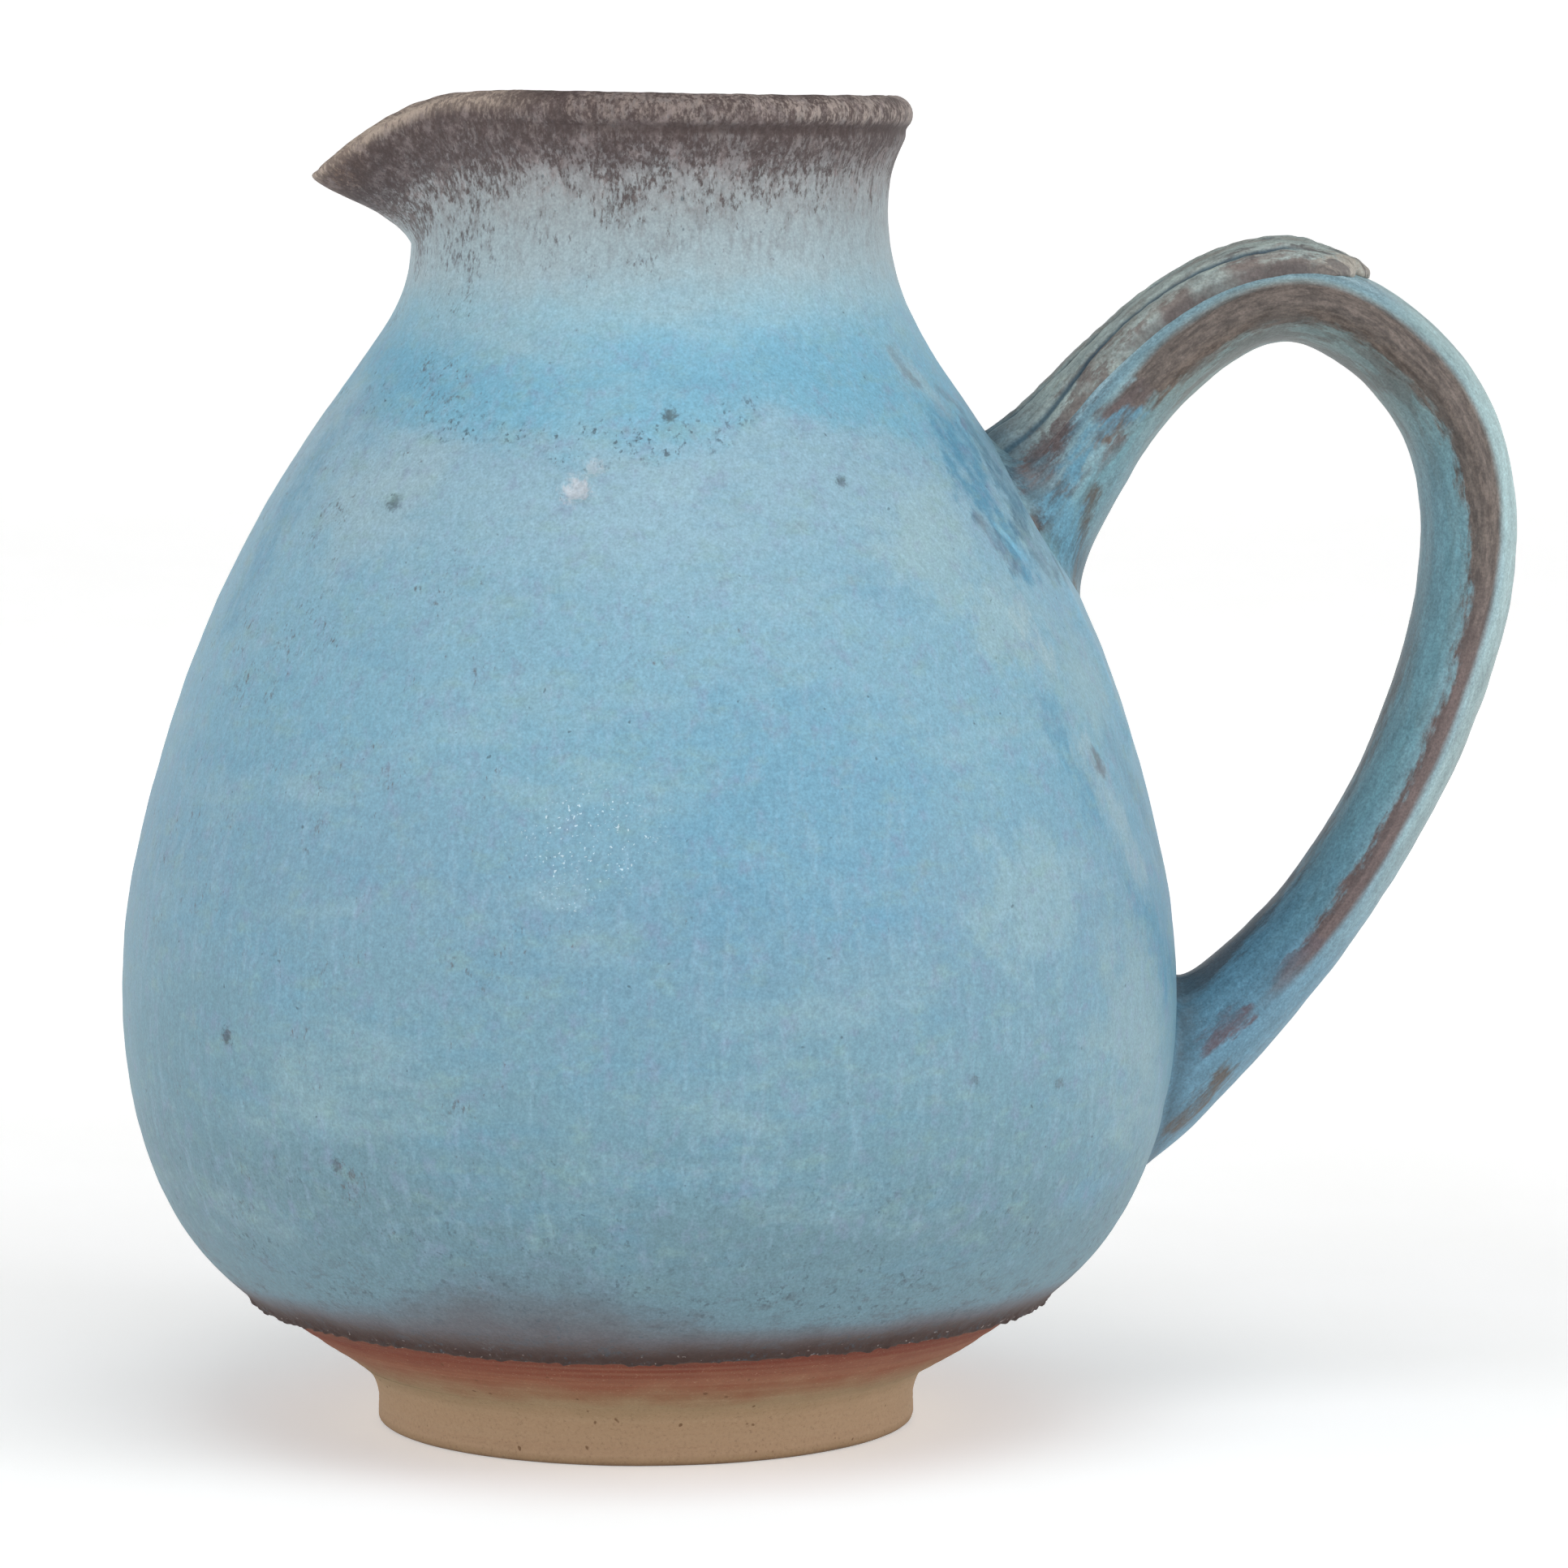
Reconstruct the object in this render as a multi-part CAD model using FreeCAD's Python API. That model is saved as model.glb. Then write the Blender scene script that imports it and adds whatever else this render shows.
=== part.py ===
"""A hand-thrown stoneware pitcher: a turned foot, a glazed wall with a pulled spout, and a strap handle.

Frame: +Z up, the handle towards +X and the spout towards -X. The origin is the centre of the
foot, on the surface that the pitcher stands on. All sizes are in millimetres.
"""
import FreeCAD, Part
import math
import os

from FreeCAD import Vector

# Driving dimensions -----------------------------------------------------------------------
GLAZE = 0.7  # thickness of the fired glaze, outside and inside
FOOT_HEIGHT = 7.0  # bare ring under the wall
FOOT_RADIUS = 38.6
FOOT_RING_WIDTH = 7.6  # from its outer face to the recess
FOOT_CHAMFER = 0.8
CREST_HEIGHT = 189.0  # clay crest of the lip, with the glaze on top of it
CREST_RADIUS = 34.8
WALL_OFF_CENTRE = 0.7  # the wall was turned a little off the foot, towards the handle
BELLY_WALL = 5.0  # clay thickness in the belly
NECK_WALL = 4.0
NECK_WALL_FROM = 150.0  # height above which the wall has its neck thickness
FLOOR_HEIGHT = 14.0  # top of the clay floor, inside
FLOOR_RADIUS = 22.0  # its flat middle

# Outside of the clay wall from the foot to the underside of the lip: (radius, height).
OUTSIDE = [
    (38.6, FOOT_HEIGHT),
    (45.3, 11.2),
    (54.6, 17.6),  # the glaze hem hangs here
    (63.3, 25.2),
    (70.0, 36.0),
    (73.7, 48.5),
    (74.8, 61.0),
    (73.8, 76.0),
    (69.4, 95.0),
    (61.7, 116.7),
    (51.7, 135.3),
    (40.8, 151.6),
    (35.4, 162.0),
    (33.4, 173.0),
    (34.3, 180.5),
    (36.4, 185.4),
]
HEM_POINT = 2  # the outline's point where the outside glaze ends
LIP = [(36.4, 188.1), (CREST_RADIUS, CREST_HEIGHT), (33.0, 188.0)]  # over the rolled lip

# Spout: the lip is pulled out and down about the direction of -X.
SPOUT_FROM = 169.0  # height on the neck where the pull begins
SPOUT_REACH = 11.2  # how far out the crest is pulled
SPOUT_DROP = 11.6  # how far down
SPOUT_CURVE = 1.7  # power of the pull's growth up the neck
DROP_CURVE = 0.8  # the same for the drop, which starts sooner
SPOUT_HALF_ANGLE = 24.0  # spread of the pull round the lip, degrees
DROP_HALF_ANGLE = 22.5
PINCH = 0.10  # the lip beside the spout is pinched in, as a share of the reach
PINCH_ANGLE = 48.0
PINCH_HALF_ANGLE = 18.0
DENT = 1.1  # a hollow in the neck below the spout
DENT_HEIGHT = 162.0
DENT_HALF_HEIGHT = 9.0
DENT_HALF_ANGLE = 45.0
RIM_RISE = 1.2  # the crest is a little higher on the spout's half

# Handle: its middle line (x, z) with the glazed strap's thickness and width at each station.
STRAP = [
    (48.5, 121.0, 19.4, 25.0),
    (58.0, 133.4, 16.6, 25.0),
    (67.2, 144.9, 14.4, 25.0),
    (79.0, 155.8, 12.6, 25.5),
    (93.0, 160.6, 12.0, 25.5),
    (106.8, 154.4, 12.8, 25.0),
    (116.2, 142.5, 13.3, 24.0),
    (119.2, 127.0, 13.5, 23.5),
    (116.2, 108.5, 13.1, 22.5),
    (107.5, 87.5, 12.3, 21.5),
    (94.0, 67.7, 13.2, 21.0),
    (86.7, 59.9, 14.8, 21.5),
    (80.4, 54.2, 16.2, 22.0),
    (72.2, 47.7, 17.2, 22.5),
    (63.5, 43.0, 16.0, 22.5),
]
UPPER_JOINT_END = 0.165  # where the joints end and the handle's glaze begins, along the handle
LOWER_JOINT_START = 0.895
UPPER_FLARE = 3.2  # how far the joints spread at the wall, past the glazed strap
LOWER_FLARE = 2.4
THUMB_START = 0.05
THUMB_END = 0.322
THUMB_WIDTH = 17.0
THUMB_RISE = 3.1  # height of the strip over the glazed strap

# Drawing steps
ROUND_POLES = 48  # round the wall
SEAM_TURN = math.radians(90.0)  # where the wall's surface closes, clear of spout and handle
SECTION_POLES = 20  # round the strap
DEGREE = 3


# Splines and closed solids ------------------------------------------------------------------
def knot_values(points):
    """Knots of a spline through the points, spaced by the lengths between them, from 0 to 1."""
    steps = [(b - a).Length for a, b in zip(points, points[1:])]
    total = sum(steps)
    values = [0.0]
    for step in steps:
        values.append(values[-1] + step / total)
    values[-1] = 1.0
    return values


def spline_through(points, knots):
    curve = Part.BSplineCurve()
    curve.interpolate(Points=points, Parameters=knots)
    return curve


def ring_scale(count):
    """What a ring of poles is enlarged by, so that its spline has the wanted radius."""
    return 3.0 / (2.0 + math.cos(2.0 * math.pi / count))


def skin(rows, like):
    """A surface, closed round each row of poles, that runs along the rows as the curve does."""
    count = len(rows[0])
    surface = Part.BSplineSurface()
    surface.buildFromPolesMultsKnots(
        rows,
        like.getMultiplicities(),
        [1] * (count + 1),
        like.getKnots(),
        [i / count for i in range(count + 1)],
        False,
        True,
        like.Degree,
        DEGREE,
    )
    return surface


def part_of(surface, start, end):
    piece = surface.copy()
    piece.segment(start, end, 0.0, 1.0)
    return piece


def flat_cap(surface, at):
    return Part.Face(Part.Wire(surface.uIso(at).toShape()))


def bridge(surface_a, at_a, surface_b, at_b):
    """A ring of straight lines from an edge of one surface to an edge of the other."""
    return Part.makeRuledSurface(surface_a.uIso(at_a).toShape(), surface_b.uIso(at_b).toShape())


def solid_of(faces):
    shell = Part.makeShell(faces)
    shell.sewShape()
    solid = Part.makeSolid(shell)
    if solid.Volume < 0:
        solid.reverse()
    return solid


# The thrown wall and its glaze ----------------------------------------------------------------
def wall_thickness(height):
    share = min(max(height / NECK_WALL_FROM, 0.0), 1.0)
    return BELLY_WALL + (NECK_WALL - BELLY_WALL) * share


def normals(points):
    """Unit normals of the outline through the points, on its right-hand side going along it."""
    knots = knot_values(points)
    curve = spline_through(points, knots)
    result = []
    for knot in knots:
        along = curve.tangent(knot)[0]
        result.append(Vector(along.z, 0, -along.x))
    return result


def wall_outline():
    """Points of the clay wall's outline: up the outside, over the lip and down the inside."""
    outside = [Vector(radius, 0, height) for radius, height in OUTSIDE]
    outward = normals(outside)
    inside = []
    for point, normal in zip(outside[HEM_POINT + 1 :], outward[HEM_POINT + 1 :]):
        inside.append(point - normal * wall_thickness(point.z))
    inside.reverse()
    lip = [Vector(radius, 0, height) for radius, height in LIP]
    floor = [Vector(44.0, 0, 17.6), Vector(FLOOR_RADIUS, 0, FLOOR_HEIGHT)]
    return outside + lip + inside[1:] + floor


def bell(distance, half_width):
    """A smooth share that is 1 at no distance and falls away on both sides."""
    return math.exp(-((distance / half_width) ** 2))


def pulled(radius, height, turn):
    """Where a point of the outline goes at this turn about the axis, with the spout pulled."""
    from_spout = abs(math.degrees(turn) % 360.0 - 180.0)
    up = max(height - SPOUT_FROM, 0.0) / (CREST_HEIGHT - SPOUT_FROM)
    pinch = PINCH * bell(from_spout - PINCH_ANGLE, PINCH_HALF_ANGLE)
    pull = bell(from_spout, SPOUT_HALF_ANGLE) - pinch
    out = radius + SPOUT_REACH * pull * up**SPOUT_CURVE
    out -= DENT * bell(height - DENT_HEIGHT, DENT_HALF_HEIGHT) * bell(from_spout, DENT_HALF_ANGLE)
    drop = SPOUT_DROP * up**DROP_CURVE * bell(from_spout, DROP_HALF_ANGLE)
    rise = RIM_RISE * up * bell(from_spout, 90.0)
    x = WALL_OFF_CENTRE + out * math.cos(turn)
    return Vector(x, out * math.sin(turn), height - drop + rise)


def thrown_surface(points, knots):
    """The outline's points, spun into a surface with the spout pulled out of it."""
    curve = spline_through(points, knots)
    scale = ring_scale(ROUND_POLES)
    turns = [SEAM_TURN + 2.0 * math.pi * i / ROUND_POLES for i in range(ROUND_POLES)]
    rows = [[pulled(pole.x * scale, pole.z, turn) for turn in turns] for pole in curve.getPoles()]
    return skin(rows, curve)


def closed_wall(surface):
    return solid_of([surface.toShape(), flat_cap(surface, 0.0), flat_cap(surface, 1.0)])


def glaze_surface(points, knots):
    """The outside of the glaze: the same outline, moved off the clay by the glaze's thickness."""
    moved = [point + normal * GLAZE for point, normal in zip(points, normals(points))]
    moved[-1] = points[-1] + Vector(0, 0, GLAZE)
    return thrown_surface(moved, knots)


def outside_skin(clay, glaze, hem, crest):
    return solid_of(
        [
            part_of(clay, hem, crest).toShape(),
            part_of(glaze, hem, crest).toShape(),
            bridge(clay, hem, glaze, hem),
            bridge(clay, crest, glaze, crest),
        ]
    )


def inside_skin(clay, glaze, crest):
    return solid_of(
        [
            part_of(clay, crest, 1.0).toShape(),
            part_of(glaze, crest, 1.0).toShape(),
            bridge(clay, crest, glaze, crest),
            flat_cap(clay, 1.0),
            flat_cap(glaze, 1.0),
        ]
    )


def filled_wall(clay, crest):
    """The volume inside the outside of the clay, for cutting the handle off at the wall."""
    outer = part_of(clay, 0.0, crest)
    foot = flat_cap(clay, 0.0)
    middle = Vector(0, 0, CREST_HEIGHT)
    lid = Part.makeRuledSurface(
        clay.uIso(crest).toShape(), Part.makeCircle(1.0, middle, Vector(0, 0, 1))
    )
    plug = Part.Face(Part.Wire(Part.makeCircle(1.0, middle, Vector(0, 0, 1))))
    return solid_of([outer.toShape(), foot, lid, plug])


def foot_ring():
    inner = FOOT_RADIUS - FOOT_RING_WIDTH
    outline = [
        Vector(inner, 0, FOOT_HEIGHT),
        Vector(inner, 0, FOOT_CHAMFER),
        Vector(inner + FOOT_CHAMFER, 0, 0),
        Vector(FOOT_RADIUS - FOOT_CHAMFER, 0, 0),
        Vector(FOOT_RADIUS, 0, FOOT_CHAMFER),
        Vector(FOOT_RADIUS, 0, FOOT_HEIGHT),
    ]
    face = Part.Face(Part.makePolygon(outline + outline[:1]))
    return face.revolve(Vector(0, 0, 0), Vector(0, 0, 1), 360.0)


# The handle -------------------------------------------------------------------------------------
class Strap:
    """The strap's middle line, thickness and width as smooth functions of the way along it."""

    def __init__(self):
        middle = [Vector(x, 0, z) for x, z, _, _ in STRAP]
        self.knots = knot_values(middle)
        self.path = spline_through(middle, self.knots)
        sizes = [Vector(thick, width, 0) for _, _, thick, width in STRAP]
        self.sizes = spline_through(sizes, self.knots)

    def outward(self, at):
        along = self.path.tangent(at)[0]
        return Vector(-along.z, 0, along.x)

    def section(self, at, grow):
        """Poles of the strap's rounded section, larger all round by grow."""
        size = self.sizes.value(at)
        thick = size.x / 2.0 + grow
        wide = size.y / 2.0 + grow
        return oval(self.path.value(at), self.outward(at) * thick, wide)


def oval(centre, outward, half_width):
    """A ring of poles for a flattened round section across the handle's plane."""
    scale = ring_scale(SECTION_POLES)
    ring = []
    for i in range(SECTION_POLES):
        turn = 2.0 * math.pi * i / SECTION_POLES
        side = Vector(0, half_width * math.sin(turn) * scale, 0)
        ring.append(centre + outward * (math.cos(turn) * scale) + side)
    return ring


def lofted(stations, rings):
    """A closed solid through rings of poles at the stations, with flat ends."""
    knots = [(s - stations[0]) / (stations[-1] - stations[0]) for s in stations]
    lines = [spline_through([ring[i] for ring in rings], knots) for i in range(len(rings[0]))]
    rows = [list(row) for row in zip(*[line.getPoles() for line in lines])]
    return closed_wall(skin(rows, lines[0]))


def spread(start, end, steps):
    return [start + (end - start) * i / steps for i in range(steps + 1)]


def strap_solid(strap, stations, grow):
    """The strap between the stations, grown by a function of the way along it."""
    return lofted(stations, [strap.section(at, grow(at)) for at in stations])


def clay_strap(strap):
    return strap_solid(strap, strap.knots, lambda at: -GLAZE)


def glazed_strap(strap):
    stations = spread(UPPER_JOINT_END, LOWER_JOINT_START, 14)
    return strap_solid(strap, stations, lambda at: 0.0)


def upper_collar(strap):
    def flare(at):
        return UPPER_FLARE * (1.0 - at / UPPER_JOINT_END) ** 2

    return strap_solid(strap, spread(0.0, UPPER_JOINT_END, 5), flare)


def lower_collar(strap):
    def flare(at):
        return LOWER_FLARE * ((at - LOWER_JOINT_START) / (1.0 - LOWER_JOINT_START)) ** 2

    return strap_solid(strap, spread(LOWER_JOINT_START, 1.0, 5), flare)


def thumb_strip(strap):
    """A layer along the outer face, thickest at its torn end."""
    stations = spread(THUMB_START, THUMB_END, 8)
    rings = []
    for at in stations:
        outward = strap.outward(at)
        centre = strap.path.value(at) + outward * (strap.sizes.value(at).x / 2.0 - 3.0)
        rings.append(oval(centre, outward * (THUMB_RISE + 3.0), THUMB_WIDTH / 2.0))
    return lofted(stations, rings)


# All pieces -------------------------------------------------------------------------------------
def all_pieces():
    outline = wall_outline()
    knots = knot_values(outline)
    crest = knots[len(OUTSIDE) + 1]
    hem = knots[HEM_POINT]
    clay = thrown_surface(outline, knots)
    glaze = glaze_surface(outline, knots)
    wall_volume = filled_wall(clay, crest)

    # Each of these runs on into the wall, and what comes first is cut out of what comes later.
    strap = Strap()
    core = clay_strap(strap)
    strip = thumb_strip(strap)
    upper = upper_collar(strap)
    lower = lower_collar(strap)
    return {
        "foot_ring": foot_ring(),
        "thrown_body": closed_wall(clay),
        "strap_handle": core.cut(wall_volume),
        "thumb_strip": strip.cut([core, wall_volume]),
        "upper_joint": upper.cut([core, strip, wall_volume]),
        "lower_joint": lower.cut([core, wall_volume]),
        "outside_glaze": outside_skin(clay, glaze, hem, crest).cut([strip, upper, lower]),
        "inside_glaze": inside_skin(clay, glaze, crest),
        "handle_glaze": glazed_strap(strap).cut([core, strip]),
    }


def one_solid(name, shape):
    """The largest solid of a shape: a cut can leave crumbs of clay inside the wall."""
    solids = sorted(shape.Solids, key=lambda solid: solid.Volume)
    print(name, [round(solid.Volume, 1) for solid in solids], "valid", shape.isValid())
    return solids[-1]


os.makedirs("parts", exist_ok=True)
for name, shape in all_pieces().items():
    one_solid(name, shape).exportStep(f"parts/{name}.step")
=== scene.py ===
import math

import bpy
import bmesh
import numpy as np
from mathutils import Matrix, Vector, noise


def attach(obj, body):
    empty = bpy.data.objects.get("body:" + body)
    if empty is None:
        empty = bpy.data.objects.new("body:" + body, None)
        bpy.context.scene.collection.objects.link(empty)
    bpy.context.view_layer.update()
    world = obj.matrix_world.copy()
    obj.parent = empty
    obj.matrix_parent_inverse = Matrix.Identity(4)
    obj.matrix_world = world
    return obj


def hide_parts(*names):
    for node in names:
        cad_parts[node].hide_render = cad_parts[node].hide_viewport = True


# The looks of a hand-thrown stoneware pitcher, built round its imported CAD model.
# +Z is up, the handle points to +X and the spout to -X. Shapes are worked out in millimetres
# and turned into metres as each mesh is made.

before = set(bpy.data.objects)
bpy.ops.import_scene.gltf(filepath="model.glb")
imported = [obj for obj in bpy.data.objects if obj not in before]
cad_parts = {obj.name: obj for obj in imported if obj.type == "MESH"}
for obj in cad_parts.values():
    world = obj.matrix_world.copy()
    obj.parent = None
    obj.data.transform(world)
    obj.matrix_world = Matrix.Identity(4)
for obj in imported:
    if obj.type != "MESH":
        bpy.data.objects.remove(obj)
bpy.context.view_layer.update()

MM = 0.001
TAU = 2 * math.pi

# The wall's outline: the same driving points as the CAD model has --------------------
GLAZE = 0.7  # thickness of the glaze
FOOT_HEIGHT = 7
FOOT_RADIUS = 38.6
FOOT_RING_WIDTH = 7.6
WALL_OFF_CENTRE = 0.7  # how far the wall's axis stands beside the foot's, along X
CREST_HEIGHT = 189
BELLY_WALL = 5
NECK_WALL = 4
NECK_WALL_FROM = 150  # height from which the wall is as thin as in the neck
OUTSIDE = [
    # radius and height of the clay's outside
    (38.6, 7),
    (45.3, 11.2),
    (54.6, 17.6),
    (63.3, 25.2),
    (70, 36),
    (73.7, 48.5),
    (74.8, 61),
    (73.8, 76),
    (69.4, 95),
    (61.7, 116.7),
    (51.7, 135.3),
    (40.8, 151.6),
    (35.4, 162),
    (33.4, 173),
    (34.3, 180.5),
    (36.4, 185.4),
]
HEM_POINT = 2  # the glaze's lower edge is at this point
LIP = [(36.4, 188.1), (34.8, 189), (33, 188)]
FLOOR = [(44, 17.6), (22, 14)]
SPOUT_FROM = 169  # height where the spout starts to leave the round neck
SPOUT_REACH = 11.2  # how far it is pulled out at the crest
SPOUT_DROP = 11.6  # how far the crest comes down there
SPOUT_CURVE = 1.7
DROP_CURVE = 0.8
SPOUT_HALF_ANGLE = 24
DROP_HALF_ANGLE = 22.5
PINCH = 0.10  # how far the lip is pinched in beside the spout, as a share of the reach
PINCH_ANGLE = 48
PINCH_HALF_ANGLE = 18
DENT = 1.1  # depth of the hollow in the throat under the spout
DENT_HEIGHT = 162
DENT_HALF_HEIGHT = 9
DENT_HALF_ANGLE = 45
RIM_RISE = 1.2  # how far the rim rises towards the spout

# The handle, also with the CAD model's driving points --------------------
STRAP = [
    # x and z of the middle line, thickness, width
    (48.5, 121, 19.4, 25),
    (58, 133.4, 16.6, 25),
    (67.2, 144.9, 14.4, 25),
    (79, 155.8, 12.6, 25.5),
    (93, 160.6, 12, 25.5),
    (106.8, 154.4, 12.8, 25),
    (116.2, 142.5, 13.3, 24),
    (119.2, 127, 13.5, 23.5),
    (116.2, 108.5, 13.1, 22.5),
    (107.5, 87.5, 12.3, 21.5),
    (94, 67.7, 13.2, 21),
    (86.7, 59.9, 14.8, 21.5),
    (80.4, 54.2, 16.2, 22),
    (72.2, 47.7, 17.2, 22.5),
    (63.5, 43, 16, 22.5),
]
UPPER_JOINT_END = 0.165  # shares of the way along the strap, as are the three below
LOWER_JOINT_START = 0.895
THUMB_START = 0.03
THUMB_END = 0.322
UPPER_FLARE = 3.2  # how much the strap swells at its roots
LOWER_FLARE = 3.4
THUMB_RISE = 3.1  # thickness of the thumb strip just before its torn tip


# Curves and noise --------------------
class Spline:
    """A smooth curve through points. Knots go from 0 to 1, spaced as the points are by default."""

    def __init__(self, points, knots=None):
        self.points = np.array(points, float)
        if knots is None:
            steps = np.linalg.norm(np.diff(self.points, axis=0), axis=1)
            knots = np.concatenate([[0], np.cumsum(steps)]) / steps.sum()
        self.knots = np.array(knots, float)
        count = len(self.knots)
        gap = np.diff(self.knots)
        system = np.eye(count)
        target = np.zeros_like(self.points)
        for i in range(1, count - 1):
            system[i, i - 1 : i + 2] = gap[i - 1], 2 * (gap[i - 1] + gap[i]), gap[i]
            rise_after = (self.points[i + 1] - self.points[i]) / gap[i]
            rise_before = (self.points[i] - self.points[i - 1]) / gap[i - 1]
            target[i] = 6 * (rise_after - rise_before)
        self.bend = np.linalg.solve(system, target)

    def __call__(self, at):
        at = np.asarray(at, float)
        i = np.clip(np.searchsorted(self.knots, at, side="right") - 1, 0, len(self.knots) - 2)
        gap = (self.knots[i + 1] - self.knots[i])[..., None]
        after = (at[..., None] - self.knots[i][..., None]) / gap
        before = 1 - after
        line = before * self.points[i] + after * self.points[i + 1]
        curl = (before**3 - before) * self.bend[i] + (after**3 - after) * self.bend[i + 1]
        return line + gap**2 / 6 * curl

    def along(self, at):
        """Unit direction of the curve."""
        step = 1e-4
        d = self(np.asarray(at) + step) - self(np.asarray(at) - step)
        return d / np.linalg.norm(d, axis=-1, keepdims=True)


def bell(distance, half_width):
    """1 where the distance is 0, falling off smoothly on both sides."""
    return np.exp(-((np.asarray(distance) / half_width) ** 2))


def smooth(value, low, high):
    """A smooth step from 0 at low to 1 at high."""
    share = np.clip((np.asarray(value, float) - low) / (high - low), 0, 1)
    return share * share * (3 - 2 * share)


def lumps(points, size, octaves=2, seed=0):
    """Noise of about -1 to 1 at points in mm, with lumps of that size."""
    flat = np.asarray(points, float).reshape(-1, 3) / size + seed
    values = [noise.fractal(Vector(p), 0.9, 2, octaves) for p in flat]
    return np.array(values).reshape(np.shape(points)[:-1])


def line_lumps(along, size, octaves, seed, aside=0):
    """The same noise along a straight line, for rings that are the same all round."""
    return lumps(np.stack([along * 0, along * 0 + aside, along], -1), size, octaves, seed)


def round_about(radius, turn, height):
    """Points at a radius and a turn about the upright axis."""
    return np.stack([radius * np.cos(turn), radius * np.sin(turn), height], -1)


def from_spout(turn):
    """How far a turn is from the spout, in degrees either way."""
    return np.abs(np.degrees(turn) % 360 - 180)


def full_turn(columns):
    """The turns of evenly spaced columns."""
    return np.arange(columns) * TAU / columns


def turned_by(angle_from, angle):
    """Signed difference of two turns, in degrees, between -180 and 180."""
    return (np.degrees(angle_from) - angle + 180) % 360 - 180


# The wall --------------------
def wall_thickness(height):
    """Thickness of the clay, from the belly's to the neck's."""
    share = np.clip(height / NECK_WALL_FROM, 0, 1)
    return BELLY_WALL + (NECK_WALL - BELLY_WALL) * share


def wall_outline():
    """The outline of the clay: up the outside, over the lip, down the inside and over the floor."""
    outside = Spline(OUTSIDE)
    along = outside.along(outside.knots)
    inward = np.stack([-along[:, 1], along[:, 0]], 1)
    inside = outside.points + inward * wall_thickness(outside.points[:, 1:])
    inside = inside[HEM_POINT + 1 : -1][::-1]
    return Spline(np.concatenate([outside.points, LIP, inside, FLOOR]))


class Wall:
    """The pitcher's wall, by the way along its outline in mm and the turn about its axis."""

    def __init__(self):
        self.outline = wall_outline()
        self.fine = np.linspace(0, 1, 6001)
        steps = np.linalg.norm(np.diff(self.outline(self.fine), axis=0), axis=1)
        self.way = np.concatenate([[0], np.cumsum(steps)])
        self.hem = self.way_of(self.outline.knots[HEM_POINT])
        self.crest = self.way_of(self.outline.knots[len(OUTSIDE) + 1])
        self.end = self.way[-1]

    def way_of(self, knot):
        """The way in mm to a knot of the outline."""
        return float(np.interp(knot, self.fine, self.way))

    def way_at_height(self, height):
        """The way along the outside at which the outline has this height."""
        outer = self.way < self.crest - 6
        return float(np.interp(height, self.outline(self.fine)[outer, 1], self.way[outer]))

    def flat(self, way, offset):
        """Radius and height of the outline, moved off the clay by the offset."""
        knot = np.interp(way, self.way, self.fine)
        along = self.outline.along(knot)
        point = self.outline(knot)
        return point[..., 0] + along[..., 1] * offset, point[..., 1] - along[..., 0] * offset

    def points(self, way, turn, offset):
        """Points in mm, off the clay by the offset."""
        way, turn, offset = np.broadcast_arrays(way, turn, offset)
        radius, height = self.flat(way, offset)
        return pulled(radius, height, turn)

    def nearest(self, points):
        """The nearest points of the glazed outside, its normals there, and how far off it is."""
        way = np.linspace(10, self.crest - 8, 700)
        radius, height = self.flat(way, np.full_like(way, GLAZE))
        along = self.outline.along(np.interp(way, self.way, self.fine))
        turn = np.arctan2(points[..., 1], points[..., 0] - WALL_OFF_CENTRE)
        r = np.hypot(points[..., 0] - WALL_OFF_CENTRE, points[..., 1])
        z = points[..., 2]
        best = np.argmin((r[..., None] - radius) ** 2 + (z[..., None] - height) ** 2, axis=-1)
        out, up = along[best, 1], -along[best, 0]
        gap = (r - radius[best]) * out + (z - height[best]) * up
        normal = np.stack([out * np.cos(turn), out * np.sin(turn), up], -1)
        on = round_about(radius[best], turn, height[best])
        on[..., 0] += WALL_OFF_CENTRE
        return on, normal, gap


def pulled(radius, height, turn):
    """Where a point of the outline goes at this turn, with the spout pulled out of the lip."""
    aside = from_spout(turn)
    up = np.maximum(height - SPOUT_FROM, 0) / (CREST_HEIGHT - SPOUT_FROM)
    pull = bell(aside, SPOUT_HALF_ANGLE)
    pull = pull - PINCH * bell(aside - PINCH_ANGLE, PINCH_HALF_ANGLE)
    out = radius + SPOUT_REACH * pull * up**SPOUT_CURVE
    dent = bell(height - DENT_HEIGHT, DENT_HALF_HEIGHT) * bell(aside, DENT_HALF_ANGLE)
    out = out - DENT * dent
    drop = SPOUT_DROP * up**DROP_CURVE * bell(aside, DROP_HALF_ANGLE)
    rise = RIM_RISE * up * bell(aside, 90)
    # The foot is centred, and the wall above it a little off the centre.
    shift = WALL_OFF_CENTRE * smooth(height, FOOT_HEIGHT, FOOT_HEIGHT + 5)
    x = shift + out * np.cos(turn)
    return np.stack([x, out * np.sin(turn), height - drop + rise], -1)


# Meshes from grids of points --------------------
def grid_faces(rows, columns, loop):
    """Quads of a grid that closes round its columns, and with loop round its rows too."""
    last = rows if loop else rows - 1
    i = np.arange(last)[:, None]
    j = np.arange(columns)[None, :]
    below, above = i * columns, (i + 1) % rows * columns
    side = (j + 1) % columns
    return np.stack([below + j, below + side, above + side, above + j], -1).reshape(-1, 4)


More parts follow.
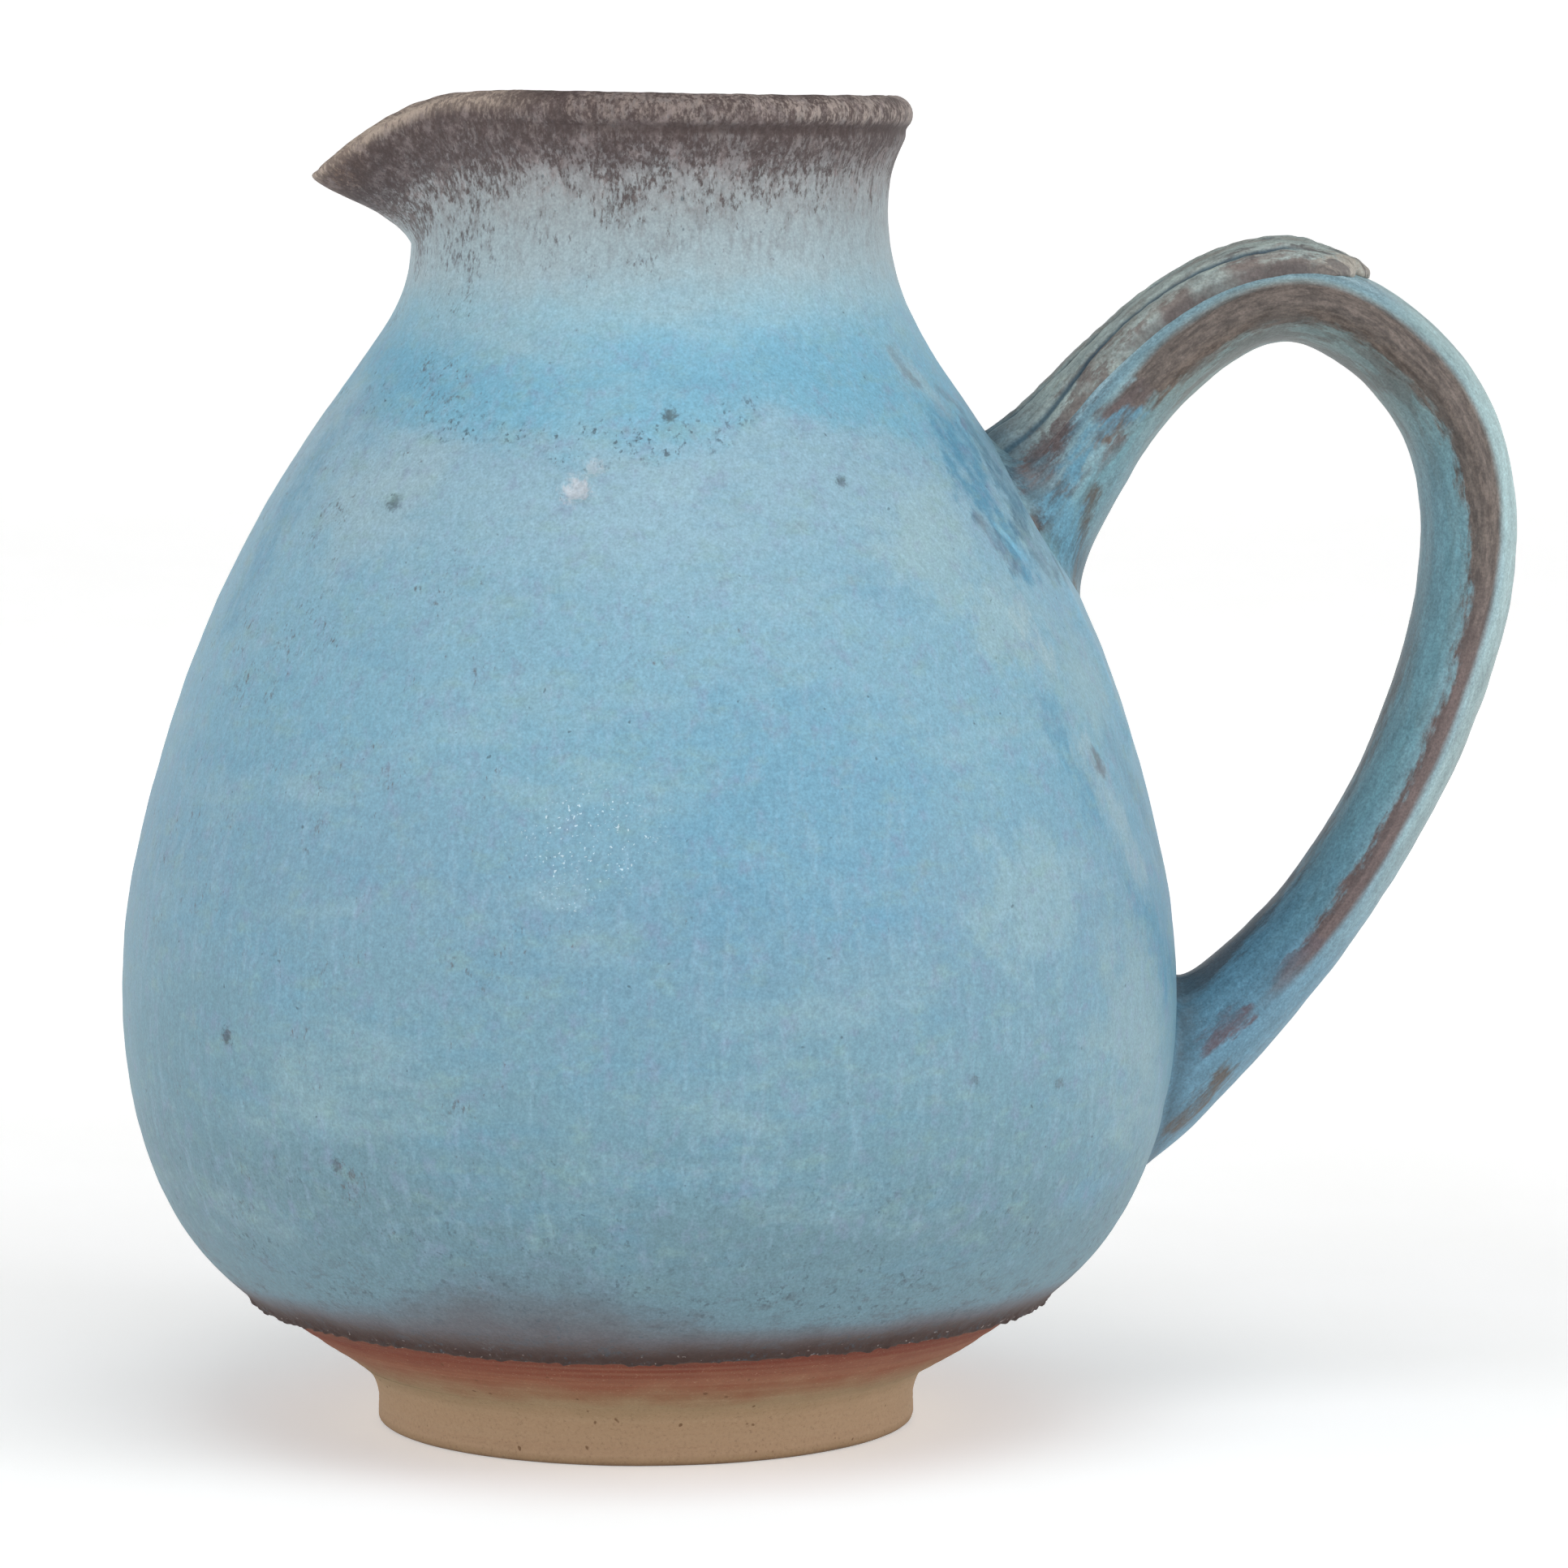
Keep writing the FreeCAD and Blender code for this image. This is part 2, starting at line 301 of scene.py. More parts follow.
def grid_piece(name, grid, loop=False, caps=(), values=None):
    """An object from a grid of points in mm, with named values, one for each point.

    A middle point closes each end that caps names, 0 for the first row and -1 for the last.
    """
    rows, columns, _ = grid.shape
    points = grid.reshape(-1, 3)
    faces = grid_faces(rows, columns, loop).tolist()
    for end in caps:
        start = 0 if end == 0 else (rows - 1) * columns
        ring = list(range(start, start + columns))
        middle = len(points)
        points = np.vstack([points, points[ring].mean(0)])
        pairs = zip(ring, ring[1:] + ring[:1])
        faces += [(b, a, middle) if end == 0 else (a, b, middle) for a, b in pairs]
    mesh = bpy.data.meshes.new(name)
    mesh.from_pydata((points * MM).tolist(), [], faces)
    for key, numbers in (values or {}).items():
        layer = mesh.attributes.new(key, "FLOAT", "POINT")
        flat = np.zeros(len(points), np.float32)
        flat[: rows * columns] = np.broadcast_to(numbers, (rows, columns)).reshape(-1)
        layer.data.foreach_set("value", flat)
    tidy = bmesh.new()
    tidy.from_mesh(mesh)
    bmesh.ops.recalc_face_normals(tidy, faces=tidy.faces)
    tidy.to_mesh(mesh)
    tidy.free()
    mesh.shade_smooth()
    piece = bpy.data.objects.new(name, mesh)
    bpy.context.scene.collection.objects.link(piece)
    return piece


def steps_of(*stretches):
    """Positions along a line: each stretch is (start, end, count), and runs up to its end."""
    parts = [np.linspace(a, b, count, endpoint=False) for a, b, count in stretches]
    return np.concatenate(parts + [[stretches[-1][1]]])


# The pieces of the wall --------------------
CAMERA_SIDE = -93.9  # turn about the axis that faces the camera, in degrees
ROUND = 720  # columns round the outside glaze
CLAY_ROUND = 480
RING_PITCH = 7  # rise of the thrower's spiral in one turn outside
LINING_PITCH = 9  # and inside
OVER_CREST = 2.4  # how far the outside glaze reaches over the crest, in mm
LIP_ZONE = 9  # rows are closest down to this far below the crest
NECK_ZONE = 40  # then to this far
HEM_ZONE = 14  # and again from this far above the hem
LIP_GROOVE = 5  # how far below the crest the groove in the lip runs
PLAIN_LIP = (25, 70)  # the lip's groove and bead start this far from the spout, in degrees


def wall_wobble(points):
    """How far thrown clay strays from a true round shape: slow swells and throwing rings."""
    height = points[..., 2]
    spiral = height + np.arctan2(points[..., 1], points[..., 0]) / TAU * RING_PITCH
    rings = 0.09 * line_lumps(spiral, 6.5, 2, 5.1, aside=3) * smooth(height, 18, 40)
    rings = rings - 0.16 * bell(spiral - 46, 1.6)
    swell = 0.28 * lumps(points, 48, 2, 2.7) * smooth(height, 10, 30)
    return rings + swell * (1 - smooth(height, 168, 182))


def scar(points, turn, height, radius, depth, rim):
    """A burst bubble in the glaze: a flat bottomed pit with a raised rim."""
    angle = math.radians(CAMERA_SIDE + turn)
    way = WALL.way_at_height(height)
    middle = WALL.points(way, angle, GLAZE)
    away = np.linalg.norm(points - middle, axis=-1) / radius
    away = away * (1 + 0.25 * lumps(points, radius * 0.8, 2, turn))
    return rim * bell(away - 1, 0.28) - depth * (1 - smooth(away, 0.55, 0.95))


SCARS = [
    # turn from the camera, height, radius, depth, rim
    (-11, 136.2, 2.1, 0.45, 0.28),
    (-9, 139, 1.1, 0.25, 0.15),
    (-50, 62, 0.8, 0.4, 0.05),
    (-35, 46, 0.7, 0.35, 0.05),
    (-41, 134, 0.8, 0.4, 0.1),
    (3.5, 146, 0.6, 0.3, 0.05),
    (63, 91, 0.8, 0.35, 0.1),
    (128, 88, 1, 0.4, 0.1),
    (171, 119, 1.6, 0.35, 0.2),
    (-121, 101, 0.9, 0.4, 0.1),
    (-152, 58, 0.7, 0.35, 0.05),
]


def glaze_run(points, turn, top, bottom, half_width, height):
    """A run of glaze down the wall that ends in a bead."""
    z = points[..., 2]
    angle = np.arctan2(points[..., 1], points[..., 0] - WALL_OFF_CENTRE)
    wander = 1.5 * np.sin(z / 9)
    reach = np.hypot(points[..., 0], points[..., 1])
    sideways = np.radians(turned_by(angle, turn)) * reach + wander
    line = smooth(z, bottom - 1, bottom + 3) * (1 - smooth(z, top - 12, top))
    bead = bell(z - bottom - 2.5, 2.8) * bell(sideways, half_width * 1.2)
    return height * (bell(sideways, half_width) * line + 0.5 * bead)


def outside_offset(way, turn, points):
    """Height of the glaze's surface over the clay outline, outside."""
    z = points[..., 2]
    offset = GLAZE + wall_wobble(points) + 0.03 * lumps(points, 2.2, 3, 8.8)
    plain = smooth(from_spout(turn), *PLAIN_LIP)
    groove = bell(way - (WALL.crest - LIP_GROOVE), 0.8) * plain
    bead = bell(way - (WALL.crest - 2.8), 1.4) * plain
    offset = offset - 0.4 * groove + 0.12 * bead
    at_lip = smooth(way, WALL.crest - 8, WALL.crest - 3)
    offset = offset + 0.10 * lumps(points, 3.4, 3, 4.7) * at_lip
    for side, height, radius, depth, rim in SCARS:
        patch = np.abs(z - height) < 3 * radius
        offset[patch] += scar(points[patch], side, height, radius, depth, rim)
    offset = offset + glaze_run(points, -17, 130, 97, 2.4, 0.55)
    return offset + glaze_run(points, 19, 126, 101, 2.6, 0.5)


def hem_line(turn):
    """Where the glaze ends over the bare clay, which wanders and is scalloped by drips."""
    ring = round_about(1, turn, turn * 0) * 55
    slow = 0.9 * lumps(ring, 60, 2, 1.3)
    drips = 0.40 * lumps(ring, 5, 2, 4.4) + 0.25 * lumps(ring, 1.6, 2, 7.9)
    return WALL.hem + 1.5 - slow - drips


def outside_glaze():
    """The outside glaze, from just over the crest down to its thick rough hem."""
    turn = full_turn(ROUND)
    hem = hem_line(turn)
    top = WALL.crest + OVER_CREST
    lip, neck = WALL.crest - LIP_ZONE, WALL.crest - NECK_ZONE
    near_hem = WALL.hem + HEM_ZONE
    upper = steps_of((top, lip, 26), (lip, neck, 34))
    belly = steps_of((neck, near_hem, 142))
    body_rows = np.concatenate([upper[:-1], belly[:-1]])
    share = 1 - (1 - np.linspace(0, 1, 40)) ** 1.35
    down_to_hem = near_hem + (hem - near_hem) * share[:, None]
    way = np.concatenate([np.repeat(body_rows[:, None], ROUND, 1), down_to_hem])
    base = WALL.points(way, turn, GLAZE)
    offset = outside_offset(way, turn, base)
    from_hem = way - hem
    crumbs = np.maximum(lumps(base, 1.5, 2, 3.3), 0)
    crumbs = crumbs + 0.5 * np.maximum(lumps(base, 0.8, 1, 6.1), 0)
    roll = (0.35 + 0.5 * crumbs) * bell(from_hem - 0.9, 1.3)
    rounded = np.sqrt(np.clip(1 - (1 - np.clip(from_hem, 0, 0.8) / 0.8) ** 2, 0, 1))
    offset = (offset + roll) * rounded - 0.15 * (1 - rounded)
    skin = WALL.points(way, turn, offset)
    back_rows = np.concatenate([body_rows[::12], [near_hem - 4]])
    back = WALL.points(back_rows[:, None], turn, -0.12)
    grid = np.concatenate([skin, back[::-1]])
    above_hem = np.concatenate([from_hem, (back_rows[:, None] - hem)[::-1]])
    all_rows = np.concatenate([way, (back_rows[:, None] + 0 * turn)[::-1]])
    values = {"above_hem": above_hem, "below_crest": WALL.crest - all_rows}
    return grid_piece("glazed_outside", grid, loop=True, values=values)


def inside_glaze():
    """The lining, from under the outside glaze at the crest down to the floor."""
    turn = full_turn(ROUND // 2)
    rows = steps_of((WALL.crest + 0.6, WALL.crest + 30, 30), (WALL.crest + 30, WALL.end, 80))
    base = WALL.points(rows[:, None], turn, GLAZE)
    swell = 0.2 * lumps(base, 40, 2, 9.2)
    spiral = base[..., 2] + turn / TAU * LINING_PITCH
    rings = 0.22 * np.sin(spiral / LINING_PITCH * TAU) * smooth(base[..., 2], 16, 30)
    rings = rings * (1 - smooth(base[..., 2], 150, 172))
    thick = (GLAZE - 0.05) * smooth(rows - WALL.crest, 0.5, 2)[:, None]
    past_lip = smooth(rows, WALL.crest, WALL.crest + 12)[:, None]
    skin = WALL.points(rows[:, None], turn, thick + (swell + rings) * past_lip)
    return grid_piece("glazed_inside", skin, caps=(-1,))


def clay_body():
    """The thrown clay. Its turned finish shows where it is bare, under the hem."""
    turn = full_turn(CLAY_ROUND)
    under = steps_of((0, WALL.hem + 3, 44))
    rest = steps_of((WALL.hem + 3, WALL.crest, 60), (WALL.crest, WALL.end, 50))
    rows = np.concatenate([under[:-1], rest])
    bare = (1 - smooth(rows, WALL.hem, WALL.hem + 2)) * smooth(rows, 0, 0.6)
    lines = 0.07 * line_lumps(rows, 0.9, 2, 1.7) + 0.05 * line_lumps(rows, 3, 1, 2.2)
    offset = -0.1 * (1 - bare[:, None]) + (lines * bare)[:, None]
    skin = WALL.points(rows[:, None], turn, offset)
    return grid_piece("clay_body", skin, caps=(0, -1))


def foot():
    """The turned foot ring: soft corners, fine turning lines and a slightly worn edge."""
    outer, inner = FOOT_RADIUS, FOOT_RADIUS - FOOT_RING_WIDTH
    turn = full_turn(CLAY_ROUND)
    corner = [math.radians(a) for a in range(0, 91, 15)]
    soft = 0.9
    joint_way = 3.6  # how far out on the body the fillet over the ring reaches
    joint = [float(v) for v in WALL.flat(joint_way, -0.1)]
    ease = Spline([joint, (outer + 0.9, FOOT_HEIGHT - 0.2), (outer, FOOT_HEIGHT - 3.2)])
    profile = [tuple(point) for point in ease(np.linspace(0, 1, 12))]
    profile += [(outer, z) for z in np.linspace(FOOT_HEIGHT - 3.5, soft, 18)]
    profile += [(outer - soft + soft * math.cos(a), soft - soft * math.sin(a)) for a in corner[1:]]
    profile += [(r, 0) for r in np.linspace(outer - soft - 0.4, inner + soft + 0.4, 9)]
    profile += [(inner + soft - soft * math.sin(a), soft - soft * math.cos(a)) for a in corner]
    profile += [(inner, z) for z in np.linspace(soft + 0.4, FOOT_HEIGHT + 0.3, 8)]
    profile = np.array(profile)
    radius = profile[:, 0][:, None] + 0 * turn
    height = profile[:, 1][:, None] + 0 * turn
    side = (profile[:, 0] > outer - 0.5)[:, None] * smooth(profile[:, 1], 0, 1.2)[:, None]
    level = profile[:, 1]
    fine = (0.05 * line_lumps(level, 0.7, 2, 3.9) + 0.06 * line_lumps(level, 2.6, 1, 1.1))[:, None]
    base = round_about(radius, turn, height)
    wear = 0.10 * lumps(base, 9, 3, 6.6) - 0.25 * np.maximum(lumps(base, 3.5, 2, 2.4) - 0.55, 0)
    radius = radius + side * fine + wear * smooth(FOOT_HEIGHT - height, 0.2, 2)
    return grid_piece("turned_foot", round_about(radius, turn, height), loop=True)


# The handle --------------------
AROUND = 144  # columns round the strap
FILLET_ROWS = 12


class Strap:
    """The handle's strap by the way along it, 0 at the shoulder and 1 at the belly."""

    def __init__(self):
        stations = np.array(STRAP)
        self.path = Spline(stations[:, :2])
        self.sizes = Spline(stations[:, 2:], self.path.knots)

    def frame_at(self, at):
        """Middle, outward direction, and half the thickness and width, which flare at the roots."""
        middle = self.path(at)
        along = self.path.along(at)
        outward = np.stack([-along[..., 1], along[..., 0]], -1)
        flare = UPPER_FLARE * np.clip(1 - at / UPPER_JOINT_END, 0, 1) ** 2
        into_lower = (at - LOWER_JOINT_START) / (1 - LOWER_JOINT_START)
        flare = flare + LOWER_FLARE * np.clip(into_lower, 0, 1) ** 2
        return middle, outward, self.sizes(at) / 2 + flare[..., None]

    def sharpness(self, at):
        """1 is an oval section, and more than that a lens with an edge at each side."""
        return 1 + 0.42 * smooth(at, 0.10, 0.30) * (1 - 0.7 * smooth(at, 0.78, 0.95))

    def surface(self, at, turn, grow=0):
        """Points of the strap's skin. Turn 0 faces outwards and a quarter turn faces +Y."""
        at, turn = np.broadcast_arrays(at, turn)
        middle, outward, half = self.frame_at(at)
        lift = np.sign(np.cos(turn)) * np.abs(np.cos(turn)) ** self.sharpness(at)
        lift = lift * (half[..., 0] + grow)
        return placed(middle, outward, lift, np.sin(turn) * (half[..., 1] + grow))


def placed(middle, outward, lift, side):
    """Points beside the handle's middle line: lifted outwards, and moved sideways along Y."""
    x = middle[..., 0] + outward[..., 0] * lift
    z = middle[..., 1] + outward[..., 1] * lift
    return np.stack([x, side + 0 * x, z], -1)


def meets_wall(strap, turn, start, end):
    """For each turn, where along the strap its skin meets the wall, looking from end to start."""
    at = np.linspace(start, end, 160)
    points = strap.surface(at[:, None], turn)
    gap = WALL.nearest(points)[2]
    result = np.zeros(len(turn))
    for j in range(len(turn)):
        inside = np.nonzero(gap[:, j] < 0)[0]
        k = min(inside[-1], len(at) - 2) if len(inside) else 0
        share = gap[k, j] / (gap[k, j] - gap[k + 1, j])
        result[j] = at[k] + (at[k + 1] - at[k]) * np.clip(share, 0, 1)
    return result


def fillet(strap, turn, hit, begin, spread, count):
    """Rows of points from the strap, where the fillet begins, down onto the wall round it."""
    start = strap.surface(begin, turn)
    corner = WALL.nearest(strap.surface(hit, turn))[0]
    normal = WALL.nearest(corner)[1]
    away = corner - corner.mean(0)
    away = away - normal * (away * normal).sum(-1, keepdims=True)
    away = away / np.linalg.norm(away, axis=-1, keepdims=True)
    foot_points, normal, _ = WALL.nearest(corner + away * spread[:, None])
    foot_points = foot_points - normal * 0.5
    share = np.linspace(0, 1, count + 1)[1:, None, None]
    return (1 - share) ** 2 * start + 2 * share * (1 - share) * corner + share**2 * foot_points


def handle_grid(strap):
    """The whole skin of the handle with its fillets, and the way along and round at each point."""
    turn = full_turn(AROUND)
    upper = meets_wall(strap, turn, 0, 0.36)
    lower = meets_wall(strap, turn, 1, 0.72)
    top = 0.5 + 0.5 * np.cos(turn)  # 1 on the outward face
    # The fillets begin a little off the wall, and furthest off on the inward face.
    upper_begin = upper + 0.020 + 0.012 * (1 - top)
    lower_begin = lower - 0.018 - 0.012 * (1 - top)
    share = np.linspace(0, 1, 300)[:, None]
    at = upper_begin + (lower_begin - upper_begin) * share
    skin = strap.surface(at, turn)
    lumpy = 0.16 * lumps(skin, 9, 2, 3.1) + 0.05 * lumps(skin, 2.4, 2, 4.7)
    lengthwise = np.stack([at * 20, np.cos(turn) * 9 + 0 * at, np.sin(turn) * 9 + 0 * at], -1)
    pulled_lines = 0.10 * lumps(lengthwise, 1.9, 1, 0.4)
    from_ends = np.minimum(share, 1 - share)
    skin = strap.surface(at, turn, (lumpy + pulled_lines) * smooth(from_ends, 0, 0.06))
    upper_spread = 2.8 + 2.6 * top**3 + 1 * (1 - top)
    lower_spread = 2.2 + 1.8 * (1 - top) ** 3
    first = fillet(strap, turn, upper, upper_begin, upper_spread, FILLET_ROWS)[::-1]
    last = fillet(strap, turn, lower, lower_begin, lower_spread, FILLET_ROWS)
    grid = np.concatenate([first, skin, last])
    share = np.linspace(0, 1, FILLET_ROWS + 1)[:, None]
    first_at = share[:-1] * 0.02 + upper_begin - 0.02
    last_at = share[1:] * 0.02 + lower_begin
    ways = np.concatenate([first_at, at, last_at])
    return grid, ways, turn


def normals_of(grid):
    """Unit normals of a grid that closes round its columns."""
    down = np.gradient(grid, axis=0)
    across = np.roll(grid, -1, 1) - np.roll(grid, 1, 1)
    normal = np.cross(across, down)
    return normal / np.maximum(np.linalg.norm(normal, axis=-1, keepdims=True), 1e-9)


def handle_pieces(strap):
    """The strap's clay, its glaze and the two joints, which share one smooth skin."""
    grid, ways, turn = handle_grid(strap)
    normal = normals_of(grid)
    middle_row = len(grid) // 2
    reach = grid[middle_row] - grid[middle_row].mean(0)
    if (normal[middle_row] * reach).sum() < 0:
        normal = -normal
    half = strap.frame_at(ways)[2][..., 0]
    lift = np.sign(np.cos(turn)) * np.abs(np.cos(turn)) ** strap.sharpness(ways) * half
    row = np.minimum(np.arange(len(grid)), np.arange(len(grid))[::-1])
    at_wall = bell(row - 7, 4)  # painted shade and pooled glaze, darkest in the fillet's hollow, gone where it ends
    values = {"along": ways, "lift": lift, "pool_and_shade": at_wall[:, None] + 0 * ways}
    mean_way = ways.mean(1)
    first = int(np.searchsorted(mean_way, UPPER_JOINT_END + 0.06))
    last = int(np.searchsorted(mean_way, LOWER_JOINT_START - 0.03))
    pieces = {}
    for name, low, high in (
        ("upper_joint_skin", 0, first),
        ("strap_glaze", first, last),
        ("lower_joint_skin", last, len(grid) - 1),
    ):
        rows = slice(low, high + 1)
        outer = grid[rows]
        inner = outer - normal[rows] * GLAZE
        shell = np.concatenate([outer, inner[::-1]])
        shell_values = {k: np.concatenate([v[rows], v[rows][::-1]]) for k, v in values.items()}
        piece = grid_piece(name, shell, loop=True, values=shell_values)
        shell_normals = np.concatenate([normal[rows], -normal[rows][::-1]])
        piece.data.normals_split_custom_set_from_vertices(shell_normals.reshape(-1, 3).tolist())
        pieces[name] = piece
    core = (grid - normal * (GLAZE + 0.05))[::4]
    pieces["strap_clay"] = grid_piece("strap_clay", core, caps=(0, -1))
    return pieces


TIP_LENGTH = 0.012  # length of the rounded tip, as a share of the way along the strap
TIP_WEAR = 1.3  # how much thinner the strip is at the tip
ROOT_RISE = 2.4  # thickness of the strip at its root
STRIP_HALF_WIDTH = 8.8
STRIP_NARROWER = 1.2  # at the tip
STRIP_WIDER = 2  # at the root
THUMB_GROOVES = [
    # place across the strip, half width as a share of half the strip, depth in mm
    (-0.70, 0.055, 0.50),
    (-0.18, 0.060, 0.65),
    (0.34, 0.060, 0.60),
    (0.76, 0.050, 0.40),
]


def thumb_layer(strap):
    """The second layer of clay on the strap: grooved, and thicker towards its torn, rounded tip."""
    across = np.cos(np.linspace(0, math.pi, 73))[::-1]
    share = 1 - (1 - np.linspace(0, 1, 150)[:, None]) ** 1.2
    torn = 0.006 * lumps(np.stack([across * 9, across * 0, across * 0], -1), 2.3, 2, 5.5)
    end = THUMB_END + 0.004 + torn - 0.016 * np.abs(across) ** 3
    at = THUMB_START + (end - THUMB_START) * share
    middle, outward, half = strap.frame_at(at)
    outer_face = placed(middle, outward, half[..., 0] + 2, 0)
    at_wall = float(at.mean(1)[np.argmin(np.abs(WALL.nearest(outer_face)[2].mean(1)))])
    half_width = STRIP_HALF_WIDTH - STRIP_NARROWER * smooth(at, 0.27, 0.32)
    half_width = half_width + STRIP_WIDER * (1 - smooth(at, 0.06, 0.17))
    side = across * half_width
    flat = half[..., 0] * (1 - (side / half[..., 1]) ** 2) ** (strap.sharpness(at) / 2)
    blend = 1 - smooth(at, 0.09, 0.19)  # the strip melts into the strap towards its root
    slab = np.clip(1 - np.abs(across) ** (6 - 3.5 * blend), 0, 1) ** (0.5 + 0.9 * blend)
    nose = np.clip((at - (end - TIP_LENGTH)) / TIP_LENGTH, 0, 1)
    nose = np.sqrt(1 - nose**2)
    rise = ROOT_RISE + (THUMB_RISE - ROOT_RISE) * smooth(at, 0.16, 0.27)
    rise = rise - TIP_WEAR * smooth(at, 0.275, THUMB_END)
    rise = rise + 0.8 * bell(at - at_wall, 0.016)
    in_groove = 0
    for place, half_groove, depth in THUMB_GROOVES:
        wander = 0.05 * np.sin(at * 40 + place * 9)
        in_groove = in_groove + depth * bell(across - place - wander, half_groove)
    in_groove = in_groove * (1 - smooth(at, 0.27, 0.31))
    spots = np.stack([middle[..., 0] + 0 * side, side, middle[..., 1]], -1)
    ragged = 0.5 * lumps(spots, 2.6, 3, 7.3) * smooth(at, 0.25, 0.31)
    ragged = ragged + 0.16 * lumps(spots, 2, 3, 1.9)
    top = flat + (rise - in_groove + ragged) * slab * nose + 0.15
    below = flat - 1.4

    def there_and_back(over, under):
        """Columns over the strip's outside, and back under it."""
        return np.concatenate([over, under[:, ::-1][:, 1:-1]], 1)

    outer, inner = placed(middle, outward, top, side), placed(middle, outward, below, side)
    grid = there_and_back(outer, inner)
    edge = there_and_back(across + 0 * at, across + 0 * at)
    groove = there_and_back(in_groove + 0 * at, 0 * at)
    # darker where the strip meets the wall: pooled glaze and painted shade
    root = bell(at - at_wall, 0.022)
    values = {
        "pool_and_shade": there_and_back(root, 0 * at),
        "along": there_and_back(at, at),
        "across": edge,
        "groove": groove,
        "tip": there_and_back(smooth(at - end, -0.030, -0.006), 0 * at),
    }
    return grid_piece("thumb_layer", grid, caps=(0, -1), values=values)


# Materials --------------------
def linear(*rgb):
    """A colour given as sRGB numbers of 0 to 255, as the linear colour that shaders want."""
    share = [c / 255 for c in rgb]
    return [c / 12.92 if c <= 0.04045 else ((c + 0.055) / 1.055) ** 2.4 for c in share] + [1]


class Shader:
    """A node material, with short ways to add the nodes that all the materials here use.

    mm is the shaded point in mm, and x, y and z are its parts. colour is the colour so far.
    """

    def __init__(self, name):
        self.material = bpy.data.materials.new(name)
        self.material.use_nodes = True
        self.tree = self.material.node_tree
        self.surface = self.tree.nodes["Principled BSDF"]
        place = self.add("ShaderNodeTexCoord").outputs["Object"]
        self.mm = self.vector("SCALE", place, scale=1 / MM)
        parts = self.add("ShaderNodeSeparateXYZ", Vector=self.mm)
        self.x, self.y, self.z = parts.outputs

    def add(self, kind, **inputs):
        """A node of a kind, with its inputs set by name."""
        node = self.tree.nodes.new(kind)
        for name, value in inputs.items():
            self.put(node, name, value)
        return node

    def put(self, node, name, value):
        """Links a value that another node makes, or sets a plain one."""
        socket = node.inputs[name]
        if isinstance(value, bpy.types.NodeSocket):
            self.tree.links.new(value, socket)
        else:
            socket.default_value = value

    def vector(self, operation, a, b=None, scale=None):
        """Vector arithmetic, by the node's own name for the operation."""
        node = self.tree.nodes.new("ShaderNodeVectorMath")
        node.operation = operation
        self.put(node, 0, a)
        if b is not None:
            self.put(node, 1, b)
        if scale is not None:
            self.put(node, "Scale", scale)
        single = operation in ("LENGTH", "DISTANCE", "DOT_PRODUCT")
        return node.outputs["Value" if single else "Vector"]

    def math(self, operation, a, b=None, c=None, clamp=False):
        """Arithmetic with plain values, by the node's own name for the operation."""
        node = self.tree.nodes.new("ShaderNodeMath")
        node.operation = operation
        node.use_clamp = clamp
        for i, value in enumerate((a, b, c)):
            if value is not None:
                self.put(node, i, value)
        return node.outputs[0]

    def times(self, a, b, plus=None):
        """a times b, and then plus something."""
        return self.math("MULTIPLY" if plus is None else "MULTIPLY_ADD", a, b, plus)

    def minus(self, a, b):
        """a less b."""
        return self.math("SUBTRACT", a, b)

    def span(self, value, low, high, to_low=0, to_high=1):
        """Value from low to high, turned smoothly into to_low to to_high."""
        node = self.tree.nodes.new("ShaderNodeMapRange")
        node.interpolation_type = "SMOOTHSTEP"
        settings = (value, low, high, to_low, to_high)
        for name, setting in zip(("Value", "From Min", "From Max", "To Min", "To Max"), settings):
            self.put(node, name, setting)
        return node.outputs[0]

    def where(self, *spans):
        """The product of spans, each given as its value, low, high and so on."""
        share = self.span(*spans[0])
        for span in spans[1:]:
            share = self.times(share, self.span(*span))
        return share

    def noise(self, size, detail=2, roughness=0.5, stretch=(1, 1, 1), seed=0, place=None):
        """Noise of about 0 to 1 with lumps of a size in mm, drawn out along the axes by stretch."""
        scale = [1 / (size * s) for s in stretch]
        place = self.vector("MULTIPLY", place or self.mm, scale)
        place = self.vector("ADD", place, (seed, seed * 1.7, seed * 0.6))
        settings = {"Scale": 1, "Detail": detail, "Roughness": roughness}
        return self.add("ShaderNodeTexNoise", Vector=place, **settings).outputs["Fac"]

    def centred(self, *settings, **more):
        """The same noise about 0, from about -0.5 to 0.5."""
        return self.minus(self.noise(*settings, **more), 0.5)

    def ramp(self, value, stops, low=0, high=1):
        """Colours at given values: stops are (value, (r, g, b)) with sRGB numbers."""
        share = self.span_line(value, low, high)
        node = self.add("ShaderNodeValToRGB", Fac=share)
        elements = node.color_ramp.elements
        while len(elements) < len(stops):
            elements.new(0.5)
        for element, (at, rgb) in zip(elements, sorted(stops)):
            element.position = (at - low) / (high - low)
            element.color = linear(*rgb)
        return node.outputs["Color"]

    def span_line(self, value, low, high):
        """Value from low to high, turned evenly into 0 to 1."""
        return self.math("DIVIDE", self.minus(value, low), high - low, clamp=True)

    def mix(self, share, a, b):
        """From colour a to colour b by a share. A tuple is a colour in sRGB numbers."""
        node = self.tree.nodes.new("ShaderNodeMix")
        node.data_type = "RGBA"
        self.put(node, 0, share)
        for index, value in ((6, a), (7, b)):
            if isinstance(value, tuple):
                value = linear(*value)
            self.put(node, index, value)
        return node.outputs[2]

    def paint(self, rgb, share, strength=None):
        """Lays a colour over the material's, by a share times the strength."""
        if strength is not None:
            share = self.times(share, strength)
        self.colour = self.mix(share, self.colour, rgb)

    def attribute(self, name):
        """A value that a piece's mesh carries."""
        node = self.tree.nodes.new("ShaderNodeAttribute")
        node.attribute_name = name
        return node.outputs["Fac"]

